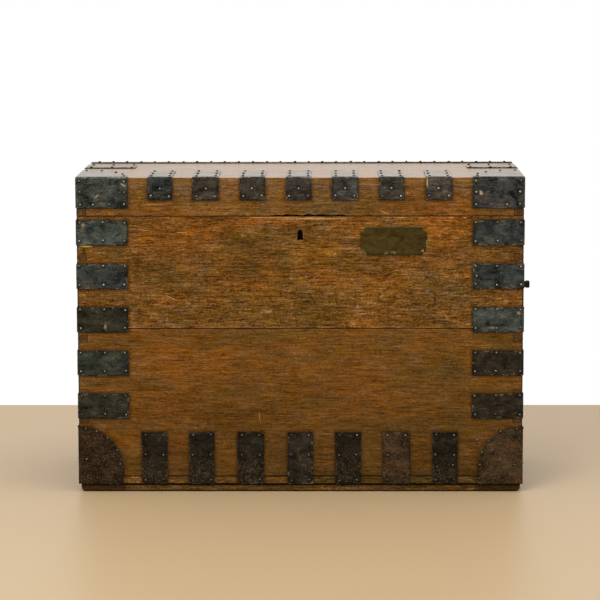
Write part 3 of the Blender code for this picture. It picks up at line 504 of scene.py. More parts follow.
# Iron tones, dark and pale, from blue-black paint to brown rust
IRON_TONES = {
    "grey": (srgb(40, 38, 35), srgb(100, 94, 85)),
    "cool_grey": (srgb(36, 37, 36), srgb(92, 92, 87)),
    "brown_grey": (srgb(34, 31, 27), srgb(90, 84, 74)),
    "green_grey": (srgb(25, 32, 31), srgb(96, 103, 96)),
    "green_black": (srgb(30, 34, 30), srgb(69, 74, 64)),
    "blue_black": (srgb(20, 26, 27), srgb(78, 83, 80)),
    "violet_black": (srgb(34, 31, 31), srgb(82, 76, 73)),
    "cool_black": (srgb(22, 23, 24), srgb(92, 91, 89)),
    "olive_black": (srgb(18, 19, 14), srgb(64, 63, 50)),
    "soot": (srgb(22, 19, 14), srgb(62, 55, 43)),
    "foot_black": (srgb(16, 14, 10), srgb(49, 44, 32)),
    "dark_rust": (srgb(17, 12, 7), srgb(62, 49, 33)),
    "light_rust": (srgb(34, 25, 16), srgb(88, 70, 47)),
}
# How rusty an iron is, and how much rustier the tones of the trunk's foot are
IRON_RUST = 0.35
FOOT_RUST = {"foot_black": 0.9, "dark_rust": 0.75, "light_rust": 0.75}
# The black foot straps are dusty and rusty below the second level, and hardly above the first
FOOT_DUST_LEVELS = (0.085, 0.025)
# Chipped paint and pale scrapes on the irons of the front, given as the marks on the wood are
IRON_CHIPS = (
    (0.3067, 0.5162, 0.0034, 0.0056, 0.3, 0.9), (-0.3325, 0.2860, 0.0026, 0.0062, 0.1, 0.8),
    (0.2155, 0.5335, 0.0014, 0.0110, 0.0, 0.9), (-0.3002, 0.5300, 0.0070, 0.0017, -0.5, 0.7),
    (-0.3450, 0.5105, 0.0080, 0.0014, 0.8, 0.5), (-0.3689, 0.4610, 0.0050, 0.0050, 0.0, 0.3),
    (0.3725, 0.3107, 0.0045, 0.0050, 0.4, 0.35), (0.3300, 0.2850, 0.0100, 0.0024, 0.0, 0.35),
)
RUST = srgb(106, 80, 52)
IRON_CHIP = srgb(240, 208, 166)
IRON_DUST = srgb(128, 122, 104)
IRON_BRIGHT = srgb(150, 148, 134)
# Tints of the iron, in linear parts
IRON_COOL = (0.80, 0.98, 1.12, 1.0)
IRON_BROWN = (1.22, 1.02, 0.86, 1.0)
# How far the mottling of an iron lies from that of the iron with the next key
KEY_SHIFT = 0.137
LID_GLOSS = 0.29


def iron(tone, key, gloss=0.0):
    """Dull painted sheet iron: mottled, wrinkled, speckled with dust and rust, dark with grime and painted
    shade at its rims and folds, with rubbed spots and painted highlights along its rims.
    """
    deep, pale = IRON_TONES[tone]
    at_foot = tone in FOOT_RUST
    shade = Shade(f"iron_{tone}_{key}")
    place = shade.mapped(shift=(key * KEY_SHIFT,) * 3)
    cloud = shade.layer(place, (34.0, 34.0, 50.0), 5.0, 0.62, 0.9)
    wrinkle = shade.layer(place, (60.0, 60.0, 210.0), 3.0, 0.6, 1.4)
    speckle = shade.layer(place, (430.0, 430.0, 430.0), 3.0, 0.7)
    patches = shade.layer(place, (60.0, 60.0, 60.0), 4.0, 0.65, 0.4)
    mottled = shade.sum((0.52, cloud), (0.26, wrinkle), (0.22, speckle))
    colour = shade.mix(shade.spread(mottled, 0.41, 0.62), deep, pale)
    colour = shade.tint(shade.spread(patches, 0.47, 0.38), colour, IRON_COOL)
    colour = shade.tint(shade.spread(patches, 0.53, 0.62), colour, IRON_BROWN)
    low = 1.0
    if tone == "foot_black":
        low = shade.spread(shade.along("Z"), *FOOT_DUST_LEVELS, 0.10, 1.0)
    dust = shade.times(shade.spread(patches, 0.54, 0.66), shade.spread(speckle, 0.50, 0.64), 0.5)
    rust = shade.spread(speckle, 0.54, 0.64)
    if at_foot:
        dust = shade.times(dust, low, 0.5)
    else:
        rust = shade.times(rust, shade.spread(patches, 0.50, 0.40))
    colour = shade.mix(dust, colour, IRON_DUST)
    colour = shade.mix(shade.times(rust, FOOT_RUST.get(tone, IRON_RUST), low), colour, RUST)
    scratches = shade.times(shade.spread(wrinkle, 0.61, 0.68), shade.spread(cloud, 0.46, 0.56))
    colour = shade.mix(shade.times(scratches, 0.45 if gloss else 0.15), colour, IRON_BRIGHT)
    # Grime and painted shade at the rims, and painted shade along the folds
    rim = shade.mark("rim")
    colour = shade.mix(shade.times(rim, 0.55), colour, GRIME_AND_SHADE)
    # Rubbed bright metal and painted highlights along the rims
    rubbed_and_highlit = shade.times(rim, shade.spread(patches, 0.52, 0.58), shade.spread(speckle, 0.42, 0.56))
    colour = shade.mix(shade.times(rubbed_and_highlit, 0.25 if at_foot else 0.7), colour, IRON_BRIGHT)
    if not at_foot:
        ragged = shade.spread(speckle, 0.34, 0.46)
        colour = front_marks(shade, colour, IRON_CHIPS, (0.0, LID_TOP), IRON_CHIP, ragged)
    # Dirt and painted contact shade in the dents round the nails
    colour = shade.mix(shade.mark("pit"), colour, GRIME_AND_SHADE)
    rough = shade.spread(cloud, 0.3, 0.7, 0.42 - gloss, 0.54 - gloss)
    shade.set(Base_Color=colour, Roughness=rough, Metallic=0.75, Specular_IOR_Level=0.2)
    if gloss:
        shade.set(Specular_Tint=LID_SHEEN)
    relief = shade.sum((0.5, cloud), (0.5, wrinkle), (0.4, speckle))
    shade.bump(relief, 0.6 - gloss, 0.0007)
    return shade.material


# Dark iron of a head, which also paints the shade at its rim, and its rubbed crown with a painted highlight
NAIL_DARK = srgb(20, 18, 15)
NAIL_RUBBED_HIGHLIGHT = srgb(190, 187, 174)


def nail_iron():
    """Nail heads: dark with painted shade at the rim, rubbed grey with a painted highlight on the crown."""
    shade = Shade("nail_iron")
    speckle = shade.layer(None, (900.0, 900.0, 900.0), 2.0, 0.6)
    crown = shade.times(shade.mark("crown"), shade.spread(speckle, 0.30, 0.62))
    colour = shade.mix(crown, NAIL_DARK, NAIL_RUBBED_HIGHLIGHT)
    rough = shade.spread(speckle, 0.3, 0.7, 0.28, 0.42)
    shade.set(Base_Color=colour, Roughness=rough, Metallic=0.8, Specular_IOR_Level=0.3)
    shade.bump(speckle, 0.3, 0.0003)
    return shade.material


BRASS_DARK = srgb(52, 40, 14)
BRASS_PALE = srgb(90, 75, 34)
BRASS_GREEN = srgb(48, 52, 22)
# Bright colour of the plate's painted highlights and of its fleck
BRASS_BRIGHT = srgb(214, 190, 126)


def brass():
    """Aged brass, olive brown, with painted highlights and a bright fleck where the mesh is marked."""
    shade = Shade("aged_brass")
    cloud = shade.layer(None, (45.0, 45.0, 70.0), 5.0, 0.62, 0.8)
    speckle = shade.layer(None, (420.0, 420.0, 520.0), 3.0, 0.7)
    mottled = shade.sum((0.5, cloud), (0.5, speckle))
    colour = shade.mix(shade.spread(mottled, 0.40, 0.64), BRASS_DARK, BRASS_PALE)
    colour = shade.mix(shade.times(shade.mark("pit"), 0.6), colour, BRASS_GREEN)
    # Painted highlight where the mesh marks it
    bright = shade.times(shade.mark("rim"), shade.spread(speckle, 0.36, 0.56))
    colour = shade.mix(bright, colour, BRASS_BRIGHT)
    rough = shade.spread(cloud, 0.3, 0.7, 0.34, 0.50)
    shade.set(Base_Color=colour, Roughness=rough, Metallic=0.85, Specular_IOR_Level=0.3)
    shade.bump(speckle, 0.35, 0.0003)
    return shade.material


FORGED_DARK = srgb(30, 27, 24)
FORGED_PALE = srgb(58, 50, 40)
FORGED_RUST = srgb(84, 62, 42)
# Painted shade over the lock inside the case, seen in shadow through the keyhole
LOCK_PAINTED_SHADE = 0.6


def forged(name, painted_shade=0.0):
    """Black forged iron of the handles, hinges and lock, with painted shade laid over the lock, which lies in
    shadow behind the keyhole.
    """
    shade = Shade(name)
    cloud = shade.layer(None, (70.0, 70.0, 70.0), 4.0, 0.6, 0.5)
    speckle = shade.layer(None, (450.0, 450.0, 450.0), 3.0, 0.65)
    colour = shade.mix(shade.spread(cloud, 0.38, 0.68), FORGED_DARK, FORGED_PALE)
    colour = shade.mix(shade.times(shade.spread(speckle, 0.56, 0.70), 0.5), colour, FORGED_RUST)
    colour = shade.mix(painted_shade, colour, GRIME_AND_SHADE)
    rough = shade.spread(speckle, 0.3, 0.7, 0.36, 0.55)
    shade.set(Base_Color=colour, Roughness=rough, Metallic=0.75, Specular_IOR_Level=0.3)
    shade.bump(shade.math("ADD", cloud, speckle), 0.5, 0.0005)
    return shade.material


def link(name, data):
    piece = bpy.data.objects.new(name, data)
    bpy.context.scene.collection.objects.link(piece)
    return piece


def smooth_piece(name, shape):
    """A piece made from a mesh under work, which is given up."""
    mesh = bpy.data.meshes.new(name)
    shape.to_mesh(mesh)
    shape.free()
    mesh.shade_smooth()
    return link(name, mesh)


def add_weighted_normals(piece):
    modifier = piece.modifiers.new("even_normals", "WEIGHTED_NORMAL")
    modifier.keep_sharp = True


def dress(piece, material, body, slot, *nodes):
    piece.data.materials.clear()
    piece.data.materials.append(material)
    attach(piece, body)
    if nodes:
        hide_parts(*nodes)


def eased_copy(node, arris, sharp_angle, profile):
    """The mesh of a CAD node with flat faces joined again and its sharp arrises eased."""
    shape = bmesh.new()
    shape.from_mesh(frame["nodes"][node].data)
    bmesh.ops.remove_doubles(shape, verts=shape.verts, dist=SAME_POINT)
    bmesh.ops.dissolve_limit(shape, angle_limit=FLAT_ANGLE, verts=shape.verts, edges=shape.edges)
    sharp = [edge for edge in shape.edges if edge.calc_face_angle(0.0) > sharp_angle]
    bmesh.ops.bevel(shape, geom=sharp, offset=arris, segments=2, affect="EDGES", profile=profile)
    return shape


def smooth_step(value):
    value = min(max(value, 0.0), 1.0)
    return value * value * (3 - 2 * value)


def lattice(low, high, step, extras=()):
    """The extra places between low and high, with evenly spaced ones where they leave room."""
    kept = []
    for place in sorted(extras):
        if low < place < high and (not kept or place - kept[-1] > SEAM_FADE):
            kept.append(place)
    count = max(1, round((high - low) / step))
    spare = [low + (high - low) * index / count for index in range(1, count)]
    fixed = tuple(kept)
    kept += [place for place in spare if all(abs(place - other) > step / 2 for other in fixed)]
    return sorted(kept)


def slice_along(shape, axis, places):
    """Cuts the mesh's faces along planes across one axis, without opening it."""
    normal = Vector((0.0, 0.0, 0.0))
    normal[axis] = 1.0
    for place in places:
        geometry = shape.verts[:] + shape.edges[:] + shape.faces[:]
        bmesh.ops.bisect_plane(
            shape, geom=geometry, dist=1e-6, plane_co=normal * place, plane_no=normal
        )


# Boards
ARRIS = 0.0009
BOARD_ANGLE = math.radians(60)
BOARD_PROFILE = 0.6
BOARD_STEP = 0.012
RELIEF = 0.00016
RELIEF_SPAN = Vector((0.045, 0.045, 0.007))
# Parts of a normal: SQUARE along some axis off the arrises, FACING where a face looks along an axis,
# OUTWARD where it looks outward at all, and FLAT_OUTWARD where it looks straight outward
SQUARE = 0.93
SQUARE_FADE = 0.2
FACING = 0.8
OUTWARD = 0.35
FLAT_OUTWARD = 0.999

# Grime in the seams between boards, and painted shadow along the floor and under the case: level, and how far
# it spreads below and above
SEAMS_AND_SHADOWS = (
    (0.0, 0.0, 0.0024),
    (CASE_LOW.z, 0.0034, 0.0012),
    (CASE_HIGH.z, 0.0011, 0.0011),
    (SEAM, 0.0012, 0.0004),
    (WALL_TOP, 0.0005, 0.0),
    (LID_FOOT, 0.0, 0.0005),
)
SEAM_FADE = 0.0003
SEAM_DEPTH = 0.0062
# Grime and painted shade down the upright corners at the front: how far they reach, and how dark they are
UPRIGHT_GRIME_AND_SHADE_REACH = 0.0016
UPRIGHT_GRIME_AND_SHADE = 0.9
PIN_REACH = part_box("left_end_board")[1].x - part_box("left_end_board")[0].x + 0.0012
PIN_GRIME = 0.55

# The dark stain and painted shadow beside an iron, and the lines of points that a board has for it
HALO_REACH = 0.006
HALO_STEPS = (0.0, 1.0)
TOP_HALO = 0.7
EDGE_ROOM = 0.0022
EDGE_LINE = 0.0015
# How much of the faded tone and painted sheen the front edge of the lid's top board takes
EDGE_FADED_SHEEN = 0.24
# The light lower arris of the upper front board: its mean, its swing and the span of its swing
LIGHT_ARRIS = 0.35
LIGHT_ARRIS_SWING = 0.5
LIGHT_ARRIS_SPAN = 0.040

# Wear at the joint of the lid: x where it starts and ends, how high it rises, and how deep it goes
JOINT_WEAR_START = -0.048
JOINT_WEAR_END = 0.080
JOINT_WEAR_RISE = 0.0036
JOINT_WEAR_DEPTH = 0.010
JOINT_WEAR_STEP = 0.0026
JOINT_WEAR_FADE = 1.5
# Painted shade inside the break: below this height, and beyond this depth from the front
JOINT_SHADE_HEIGHT = 0.0012
JOINT_SHADE_DEPTH = 0.0008
LIP_WEAR = 0.0016
LIP_STEP = 0.0032
LIP_HEIGHT = 0.0055
LIP_DEPTH = 0.004

# Left and right edge of each strap on the lid and at the foot, as the photograph shows them
STRAP_SPANS = {
    "lid_strap_": (
        (-0.2585, -0.2172), (-0.1824, -0.1383), (-0.1018, -0.0594), (-0.0237, 0.0187),
        (0.0543, 0.0984), (0.1340, 0.1763), (0.2136, 0.2577),
    ),
    "foot_strap_": (
        (-0.2719, -0.2289), (-0.1902, -0.1480), (-0.1076, -0.0629), (-0.0216, 0.0206),
        (0.0601, 0.1031), (0.1417, 0.1873), (0.2268, 0.2689),
    ),
}
PLATE_LOW, PLATE_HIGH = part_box("front_left_corner_plate")
PLATE_RADIUS = PLATE_HIGH.x - PLATE_LOW.x - IRON_OUT


def joint_wear(across):
    """How far the lid's lower arris is worn away at x, in metres."""
    share = (across - JOINT_WEAR_START) / (JOINT_WEAR_END - JOINT_WEAR_START)
    if not 0 < share < 1:
        return 0.0
    ragged = 0.62 + 0.75 * noise.noise(Vector((across * 95, 4.2, 0.7)))
    return JOINT_WEAR_RISE * math.sin(math.pi * share) ** 0.4 * max(ragged, 0.20)


def iron_box(node):
    """A strap's box in the frame, with the width that the photograph shows."""
    low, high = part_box(node)
    for word, spans in STRAP_SPANS.items():
        if node.startswith(word):
            low.x, high.x = spans[int(node[len(word):]) - 1]
    return low, high


def iron_footprints(low, high):
    """Boxes of the irons that lie against a board's box. The round plates are handled apart."""
    boxes = []
    for node in frame["nodes"]:
        if "strap" in node or "cap" in node or "edge_iron" in node:
            near, far = iron_box(node)
            if all(
                near[axis] < high[axis] + IRON_OUT and far[axis] > low[axis] - IRON_OUT
                for axis in range(3)
            ):
                boxes.append((near, far))
    return boxes


def edge_places(boxes, low, high, axis):
    """Places at a board's arrises and just outside both ends of every iron along one axis."""
    first, last = low[axis] + EDGE_ROOM, high[axis] - EDGE_ROOM
    places = set()
    for near, far in boxes:
        for step in HALO_STEPS:
            places.add(round(near[axis] - step * HALO_REACH, 3))
            places.add(round(far[axis] + step * HALO_REACH, 3))
    inner = [place for place in places if first + EDGE_ROOM < place < last - EDGE_ROOM]
    return [low[axis] + EDGE_LINE, first, *sorted(inner), last, high[axis] - EDGE_LINE]


def nearness(place, box):
    """1 beside a box, fading to 0 at the reach of the stain and painted shadow."""
    low, high = box
    gap = Vector(
        max(least - value, value - most, 0.0) for value, least, most in zip(place, low, high)
    )
    return max(0.0, 1 - gap.length / HALO_REACH)


def plate_nearness(place):
    """The same beside the quarter-round plates on the bottom corners."""
    across = HALF_WIDTH - abs(place.x)
    depth = min(place.y - FRONT, BACK - place.y)
    above_foot = max(place.z - (PLATE_HIGH.z - PLATE_RADIUS), 0.0)
    reach = math.hypot(max(across, depth), above_foot) - PLATE_RADIUS
    return max(0.0, 1 - max(reach, 0.0) / HALO_REACH)


def seam_places(low, high):
    """Levels where the dark band of a seam, grime and painted shadow, begins and ends on a board."""
    places = []
    for level, below, above in SEAMS_AND_SHADOWS:
        for limit in (level - below, level + above):
            if low + ARRIS * 2 < limit < high - ARRIS * 2:
                places += [limit - SEAM_FADE, limit + SEAM_FADE]
    return places


def grime_and_shade_at(place):
    """How black a point is with grime and painted shade: in the seams, along the floor, under the case, and
    down the upright corners at the front.
    """
    depth = min(HALF_WIDTH - abs(place.x), place.y - FRONT, BACK - place.y)
    if depth > SEAM_DEPTH:
        return 0.0
    for level, below, above in SEAMS_AND_SHADOWS:
        front_only = level == SEAM and place.y > FRONT + SEAM_DEPTH
        if level - below < place.z < level + above and not front_only:
            return 1.0
    # Grime and painted shade down the upright corners at the front
    upright = HALF_WIDTH - abs(place.x) < UPRIGHT_GRIME_AND_SHADE_REACH and place.y - FRONT < UPRIGHT_GRIME_AND_SHADE_REACH
    return UPRIGHT_GRIME_AND_SHADE if upright else 0.0


def on_pin(place):
    """Whether a point lies on the front where the end board's pins show between the tails."""
    return HALF_WIDTH - abs(place.x) < PIN_REACH and place.y - FRONT < ARRIS * 1.3


def wood_marks(node, vert, facing, grain_axis, footprints):
    """What the oak's material reads at a point of a board, by the name of the mark."""
    place, normal = vert.co, vert.normal
    squareness = max(abs(part) for part in normal)
    at_side = abs(normal.x) > FACING and HALF_WIDTH - abs(place.x) < ARRIS
    # Grime in the seams, with painted shade along the floor, under the case and down the front corners
    grime_and_shade = grime_and_shade_at(place)
    if squareness < SQUARE and on_pin(place):
        grime_and_shade = max(grime_and_shade, PIN_GRIME)
    near = max((nearness(place, footprint) for footprint in footprints), default=0.0)
    if place.z < SEAM:
        near = max(near, plate_nearness(place))
    worn = smooth_step((SQUARE - squareness) / SQUARE_FADE) * (facing > OUTWARD)
    marks = {
        "wear": 0.0 if grime_and_shade else worn,
        "bare": float(facing < OUTWARD and not at_side),
        "end_grain": float(abs(normal[grain_axis]) > FACING),
        "grime_and_shade": grime_and_shade,
        "halo": near * TOP_HALO if normal.z > FACING else near,
    }
    # Faded top, which also carries a painted sheen, and a little of it on the front edge of the lid's top
    # board
    if normal.z > FACING and place.z > LID_TOP - ARRIS:
        marks["faded"] = 1.0
    elif node == "lid_top_board" and normal.y < -FACING:
        marks["faded"] = EDGE_FADED_SHEEN
    if normal.y < -0.5 and place.y < FRONT + ARRIS * 2:
        for zone, (_, places) in ZONES.items():
            marks[zone] = zone_share(places, place)
        if node == "front_board_upper" and ARRIS / 2 < place.z - UPPER_FOOT < EDGE_LINE * 1.1:
            swing = LIGHT_ARRIS_SWING * noise.noise(place / LIGHT_ARRIS_SPAN)
            marks["wear"] = max(0.0, LIGHT_ARRIS + swing)
    return marks


def worn_board(node, material, grain, outside):
    """A copy of a CAD board with eased arrises, a fine mesh, marks and a little relief on its faces."""
    low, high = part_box(node)
    shape = eased_copy(node, ARRIS, BOARD_ANGLE, BOARD_PROFILE)
    footprints = iron_footprints(low, high)
    for axis in range(3):
        step = BOARD_STEP if high[axis] - low[axis] > 4 * BOARD_STEP else BOARD_STEP * 4
        extras = edge_places(footprints, low, high, axis)
        if axis == 2:
            extras += seam_places(low.z, high.z)
        slice_along(shape, axis, lattice(low[axis], high[axis], step, extras))
    shape.normal_update()
    names = ("wear", "bare", "end_grain", "grime_and_shade", "halo", "faded", *ZONES)
    layers = {name: shape.verts.layers.float.new(name) for name in names}
    grain_axis = "XYZ".index(grain)
    for vert in shape.verts:
        facing = max(vert.normal.dot(direction) for direction in outside)
        for name, value in wood_marks(node, vert, facing, grain_axis, footprints).items():
            vert[layers[name]] = value
        if facing > FLAT_OUTWARD:
            sample = Vector(part / span for part, span in zip(vert.co, RELIEF_SPAN))
            vert.co += vert.normal * (noise.noise(sample) - 1) / 2 * RELIEF
    if node == "front_board_upper":
        wear_front_lip(shape, layers["wear"], high.z)
    elif node == "lid_front_rail":
        wear_lid_rail(shape, layers["grime_and_shade"], low.z)
    piece = smooth_piece(node + "_oak", shape)
    add_weighted_normals(piece)
    body = "lid" if node.startswith("lid") else "case"
    dress(piece, material, body, body + "_wood", node)


def wear_lid_rail(shape, grime_and_shade, foot):
    """Breaks the lower front arris of the lid away above the lock, with painted shade in the gap behind."""
    slice_along(shape, 0, lattice(JOINT_WEAR_START, JOINT_WEAR_END, JOINT_WEAR_STEP))
    slice_along(shape, 1, [FRONT + JOINT_WEAR_DEPTH * share for share in (0.3, 0.6, 1.0)])
    levels = (0.35, 0.7, 1.0, JOINT_WEAR_FADE)
    slice_along(shape, 2, [foot + JOINT_WEAR_RISE * share for share in levels])
    top = JOINT_WEAR_FADE * JOINT_WEAR_RISE
    for vert in shape.verts:
        worn = joint_wear(vert.co.x)
        lift = worn * (1 - smooth_step((vert.co.y - FRONT) / JOINT_WEAR_DEPTH))
        above = vert.co.z - foot
        if lift and above < top:
            vert.co.z = foot + lift + above * (1 - lift / top)
            # Painted shade deep in the break
            if above < JOINT_SHADE_HEIGHT and vert.co.y > FRONT + JOINT_SHADE_DEPTH:
                vert[grime_and_shade] = 1.0


def wear_front_lip(shape, wear, top):
    """Rounds and splinters the top arris of the front under the lid."""
    slice_along(shape, 2, [top - drop for drop in (0.0015, 0.003, 0.0048)])
    slice_along(shape, 0, lattice(JOINT_WEAR_START - 0.03, JOINT_WEAR_END + 0.14, LIP_STEP))
    for vert in shape.verts:
        depth = top - vert.co.z
        if vert.co.y > FRONT + LIP_DEPTH or depth > LIP_HEIGHT:
            continue
        ragged = noise.noise(Vector((vert.co.x * 70, 9.1, 0.3)))
        share = joint_wear(vert.co.x) / JOINT_WEAR_RISE
        worn = LIP_WEAR * (share + max(0.0, ragged - 0.12) * 0.9)
        fade = 1 - depth / LIP_HEIGHT
        vert.co.z -= worn * fade * 0.7
        vert.co.y += worn * fade * 0.6
        vert[wear] = max(vert[wear], min(1.0, 1.6 * fade * worn / LIP_WEAR))


# Each board: the axis of its grain, the ways that its outer faces look, and what sets its oak apart
BOARDS = {
    "front_board_upper": ("X", (FORWARD,), {"front": "upper"}),
    "front_board_lower": (
        "X", (FORWARD,), {"olive": 0.6, "front": "lower", "contrast": 0.65, "short": 0.9},
    ),
    "back_board": ("X", (BACKWARD,), {}),
    "left_end_board": ("Y", (LEFT, FORWARD, BACKWARD), {}),
    "right_end_board": ("Y", (RIGHT, FORWARD, BACKWARD), {}),
    "bottom_board": ("X", ALL_ROUND, {"warm": 0.1, "olive": 1.0, "front": "foot", "dull": 0.15}),
    "front_runner": ("X", ALL_ROUND, {"warm": 0.0, "olive": 0.6, "dull": 0.5}),
    "rear_runner": ("X", ALL_ROUND, {"warm": 0.0, "olive": 0.6, "dull": 0.5}),
    "lid_front_rail": ("X", (FORWARD,), {"dusty": 1.0, "front": "lid", "contrast": 0.75}),
    "lid_back_rail": ("X", (BACKWARD,), {}),
    "lid_left_rail": ("Y", (LEFT, FORWARD, BACKWARD), {}),
    "lid_right_rail": ("Y", (RIGHT, FORWARD, BACKWARD), {}),
    "lid_top_board": ("X", (UP, *ALL_ROUND), {"dusty": 0.4, "gloss": 0.15, "contrast": 0.8}),
}


def boards():
    """Every board of the case and the lid, each with a run of grain of its own."""
    for run, (node, (grain, outside, looks)) in enumerate(BOARDS.items()):
        shift = (run * 1.7 + 0.3, 0.0, run * 1.3 + 0.1)
        worn_board(node, oak(node, grain, shift, **looks), grain, outside)


class Leaf:
    """A flat part of an iron, on the outer planes of the trunk, before its folds are rounded.

    It starts at a corner and runs along and across. fold says which of the two starts at a fold.
    """

    def __init__(self, corner, along, length, across, width, fold=(True, False), outline=None):
        self.corner, self.along, self.across = Vector(corner), Vector(along), Vector(across)
        self.length, self.width, self.fold = length, width, fold
        self.outline = outline

    def stations(self, extent, folded):
        start = [FOLD_RADIUS * share for share in FOLD_STATIONS] if folded else [0.0]
        last = start[-1]
        count = max(1, round((extent - last) / IRON_STEP))
        return start + [last + (extent - last) * step / count for step in range(1, count + 1)]

    def at(self, along, across):
        return self.corner + self.along * along + self.across * across

    def grid(self):
        rows = []
        for along in self.stations(self.length, self.fold[0]):
            places = [(along, across) for across in self.stations(self.width, self.fold[1])]
            if self.outline:
                places = [self.outline(*place) for place in places]
            rows.append([self.at(*place) for place in places])
        return rows


def onto_circle(first, second):
    """Moves a point of the unit square onto the quarter of the unit circle."""
    return first * math.sqrt(1 - second * second / 2), second * math.sqrt(1 - first * first / 2)


def rounded_corners(length, width, radius):
    """Outline of a leaf whose far corners are rounded."""

    def outline(along, across):
        centre = width / 2
        side = 1 if across > centre else -1
        beyond = abs(across - centre) - (centre - radius)
        past = along - (length - radius)
        if beyond > 0 and past > 0:
            first, second = onto_circle(past / radius, beyond / radius)
            along = length - radius + radius * first
            across = centre + side * (centre - radius + radius * second)
        return along, across

    return outline


def quarter_disc(length, width, square):
    """Outline of a leaf that is a quarter of an ellipse, above a square part along its length."""

    def outline(along, across):
        if across > square:
            first, second = onto_circle(along / length, (across - square) / (width - square))
            along, across = length * first, square + (width - square) * second
        return along, across

    return outline


def angle_leaves(corner, legs, across, width, rounding):
    """The two leaves of an iron that is bent once, with its far corners rounded."""
    return [
        Leaf(corner, along, length, across, width, outline=rounded_corners(length, width, rounding))
        for along, length in legs
    ]


def onto_folds(place, low, high):
    """Moves a point of the sharp outer box onto the box with rounded folds, with its normal."""
    inner = Vector(
        min(max(value, least + FOLD_RADIUS), most - FOLD_RADIUS)
        for value, least, most in zip(place, low, high)
    )
    outward = place - inner
    if outward.length < 1e-9:
        return place, Vector((0, 0, 0))
    normal = outward.normalized()
    return inner + normal * FOLD_RADIUS, normal


def fold_distance(place, low, high):
    """Distance along the iron from the nearest fold: the second smallest distance to a plane."""
    depths = [min(value - least, most - value) for value, least, most in zip(place, low, high)]
    return sorted(depths)[1]


class Heads:
    """Collects the nail heads of one group into one mesh."""

    def __init__(self, group, seed):
        self.name, self.body = group + "_nails", group.split("_")[0]
        self.random = random.Random(seed)
        self.shape = bmesh.new()
        self.crown = self.shape.verts.layers.float.new("crown")

    def add(self, place, normal):
        """A hand-made dome, a little uneven, its rim sunk in what it holds."""
        draw = self.random
        radius = NAIL_RADIUS * draw.uniform(0.86, 1.12)
        height = NAIL_HEIGHT * draw.uniform(0.85, 1.15)
        turn = draw.uniform(0, math.tau)
        aside = normal.orthogonal().normalized()
        other = normal.cross(aside)
        lean = (aside * draw.uniform(-1, 1) + other * draw.uniform(-1, 1)) * radius * NAIL_LEAN
        dents = [draw.uniform(0.93, 1.05) for _ in range(NAIL_SIDES)]
        shine = draw.uniform(0.4, 1.1) * min(1.0, FOOT_NAIL_SHINE + place.z / FOOT_NAIL_FADE)
        rings = []
        for wide, tall in NAIL_RINGS:
            ring = []
            for side in range(NAIL_SIDES):
                angle = turn + math.tau * side / NAIL_SIDES
                spoke = aside * math.cos(angle) + other * math.sin(angle)
                at = place + spoke * radius * wide * dents[side] + normal * height * tall
                vert = self.shape.verts.new(at + lean * max(tall, 0.0))
                # The crown is rubbed metal and a painted highlight, lifted on the upper side of a head and
                # dimmer near the floor
                lit = spoke.z * wide if abs(normal.z) < 0.5 else 0.0
                vert[self.crown] = shine * smooth_step((tall - 0.62) / 0.4 + 0.45 * lit)
                ring.append(vert)
            rings.append(ring)
        top = self.shape.verts.new(place + normal * height + lean)
        top[self.crown] = shine
        foot = self.shape.verts.new(place + normal * height * NAIL_RINGS[0][1])
        pairs = [(side, (side + 1) % NAIL_SIDES) for side in range(NAIL_SIDES)]
        for lower, upper in zip(rings, rings[1:]):
            for side, after in pairs:
                self.shape.faces.new((lower[side], lower[after], upper[after], upper[side]))
        for side, after in pairs:
            self.shape.faces.new((rings[-1][side], rings[-1][after], top))
            self.shape.faces.new((rings[0][after], rings[0][side], foot))

    def drive(self, seat, normal):
        """A head beside its seat, as far off as a hand sets it."""
        first, second = self.random.uniform(-1, 1), self.random.uniform(-1, 1)
        aside = normal.orthogonal().normalized()
        other = normal.cross(aside)
        self.add(seat + aside * (first * NAIL_JITTER) + other * (second * NAIL_JITTER), normal)

    def finish(self, material):
        bmesh.ops.recalc_face_normals(self.shape, faces=self.shape.faces)
        dress(smooth_piece(self.name, self.shape), material, self.body, "strap_iron")


HEADS = {
    "case_front": Heads("case_front", 11),
    "case_rear": Heads("case_rear", 12),
    "lid_front": Heads("lid_front", 13),
    "lid_rear": Heads("lid_rear", 14),
}

# Outer planes of the irons, low and high. FAR stands where no plane bounds them, and no iron folds there.
FAR = 9.0
PLANES_LOW = Vector((-HALF_WIDTH - IRON_OUT, FRONT - IRON_OUT, -FAR))
PLANES = {
    "case": (PLANES_LOW, Vector((HALF_WIDTH + IRON_OUT, BACK + IRON_OUT, FAR))),
    "lid": (PLANES_LOW, Vector((HALF_WIDTH + IRON_OUT, BACK + IRON_OUT, LID_PLANE))),
}


def plane_corner(side, depth_side, z):
    """The point of an upright corner of the outer planes at a height."""
    y = FRONT - IRON_OUT if depth_side < 0 else BACK + IRON_OUT
    return Vector((side * (HALF_WIDTH + IRON_OUT), y, z))


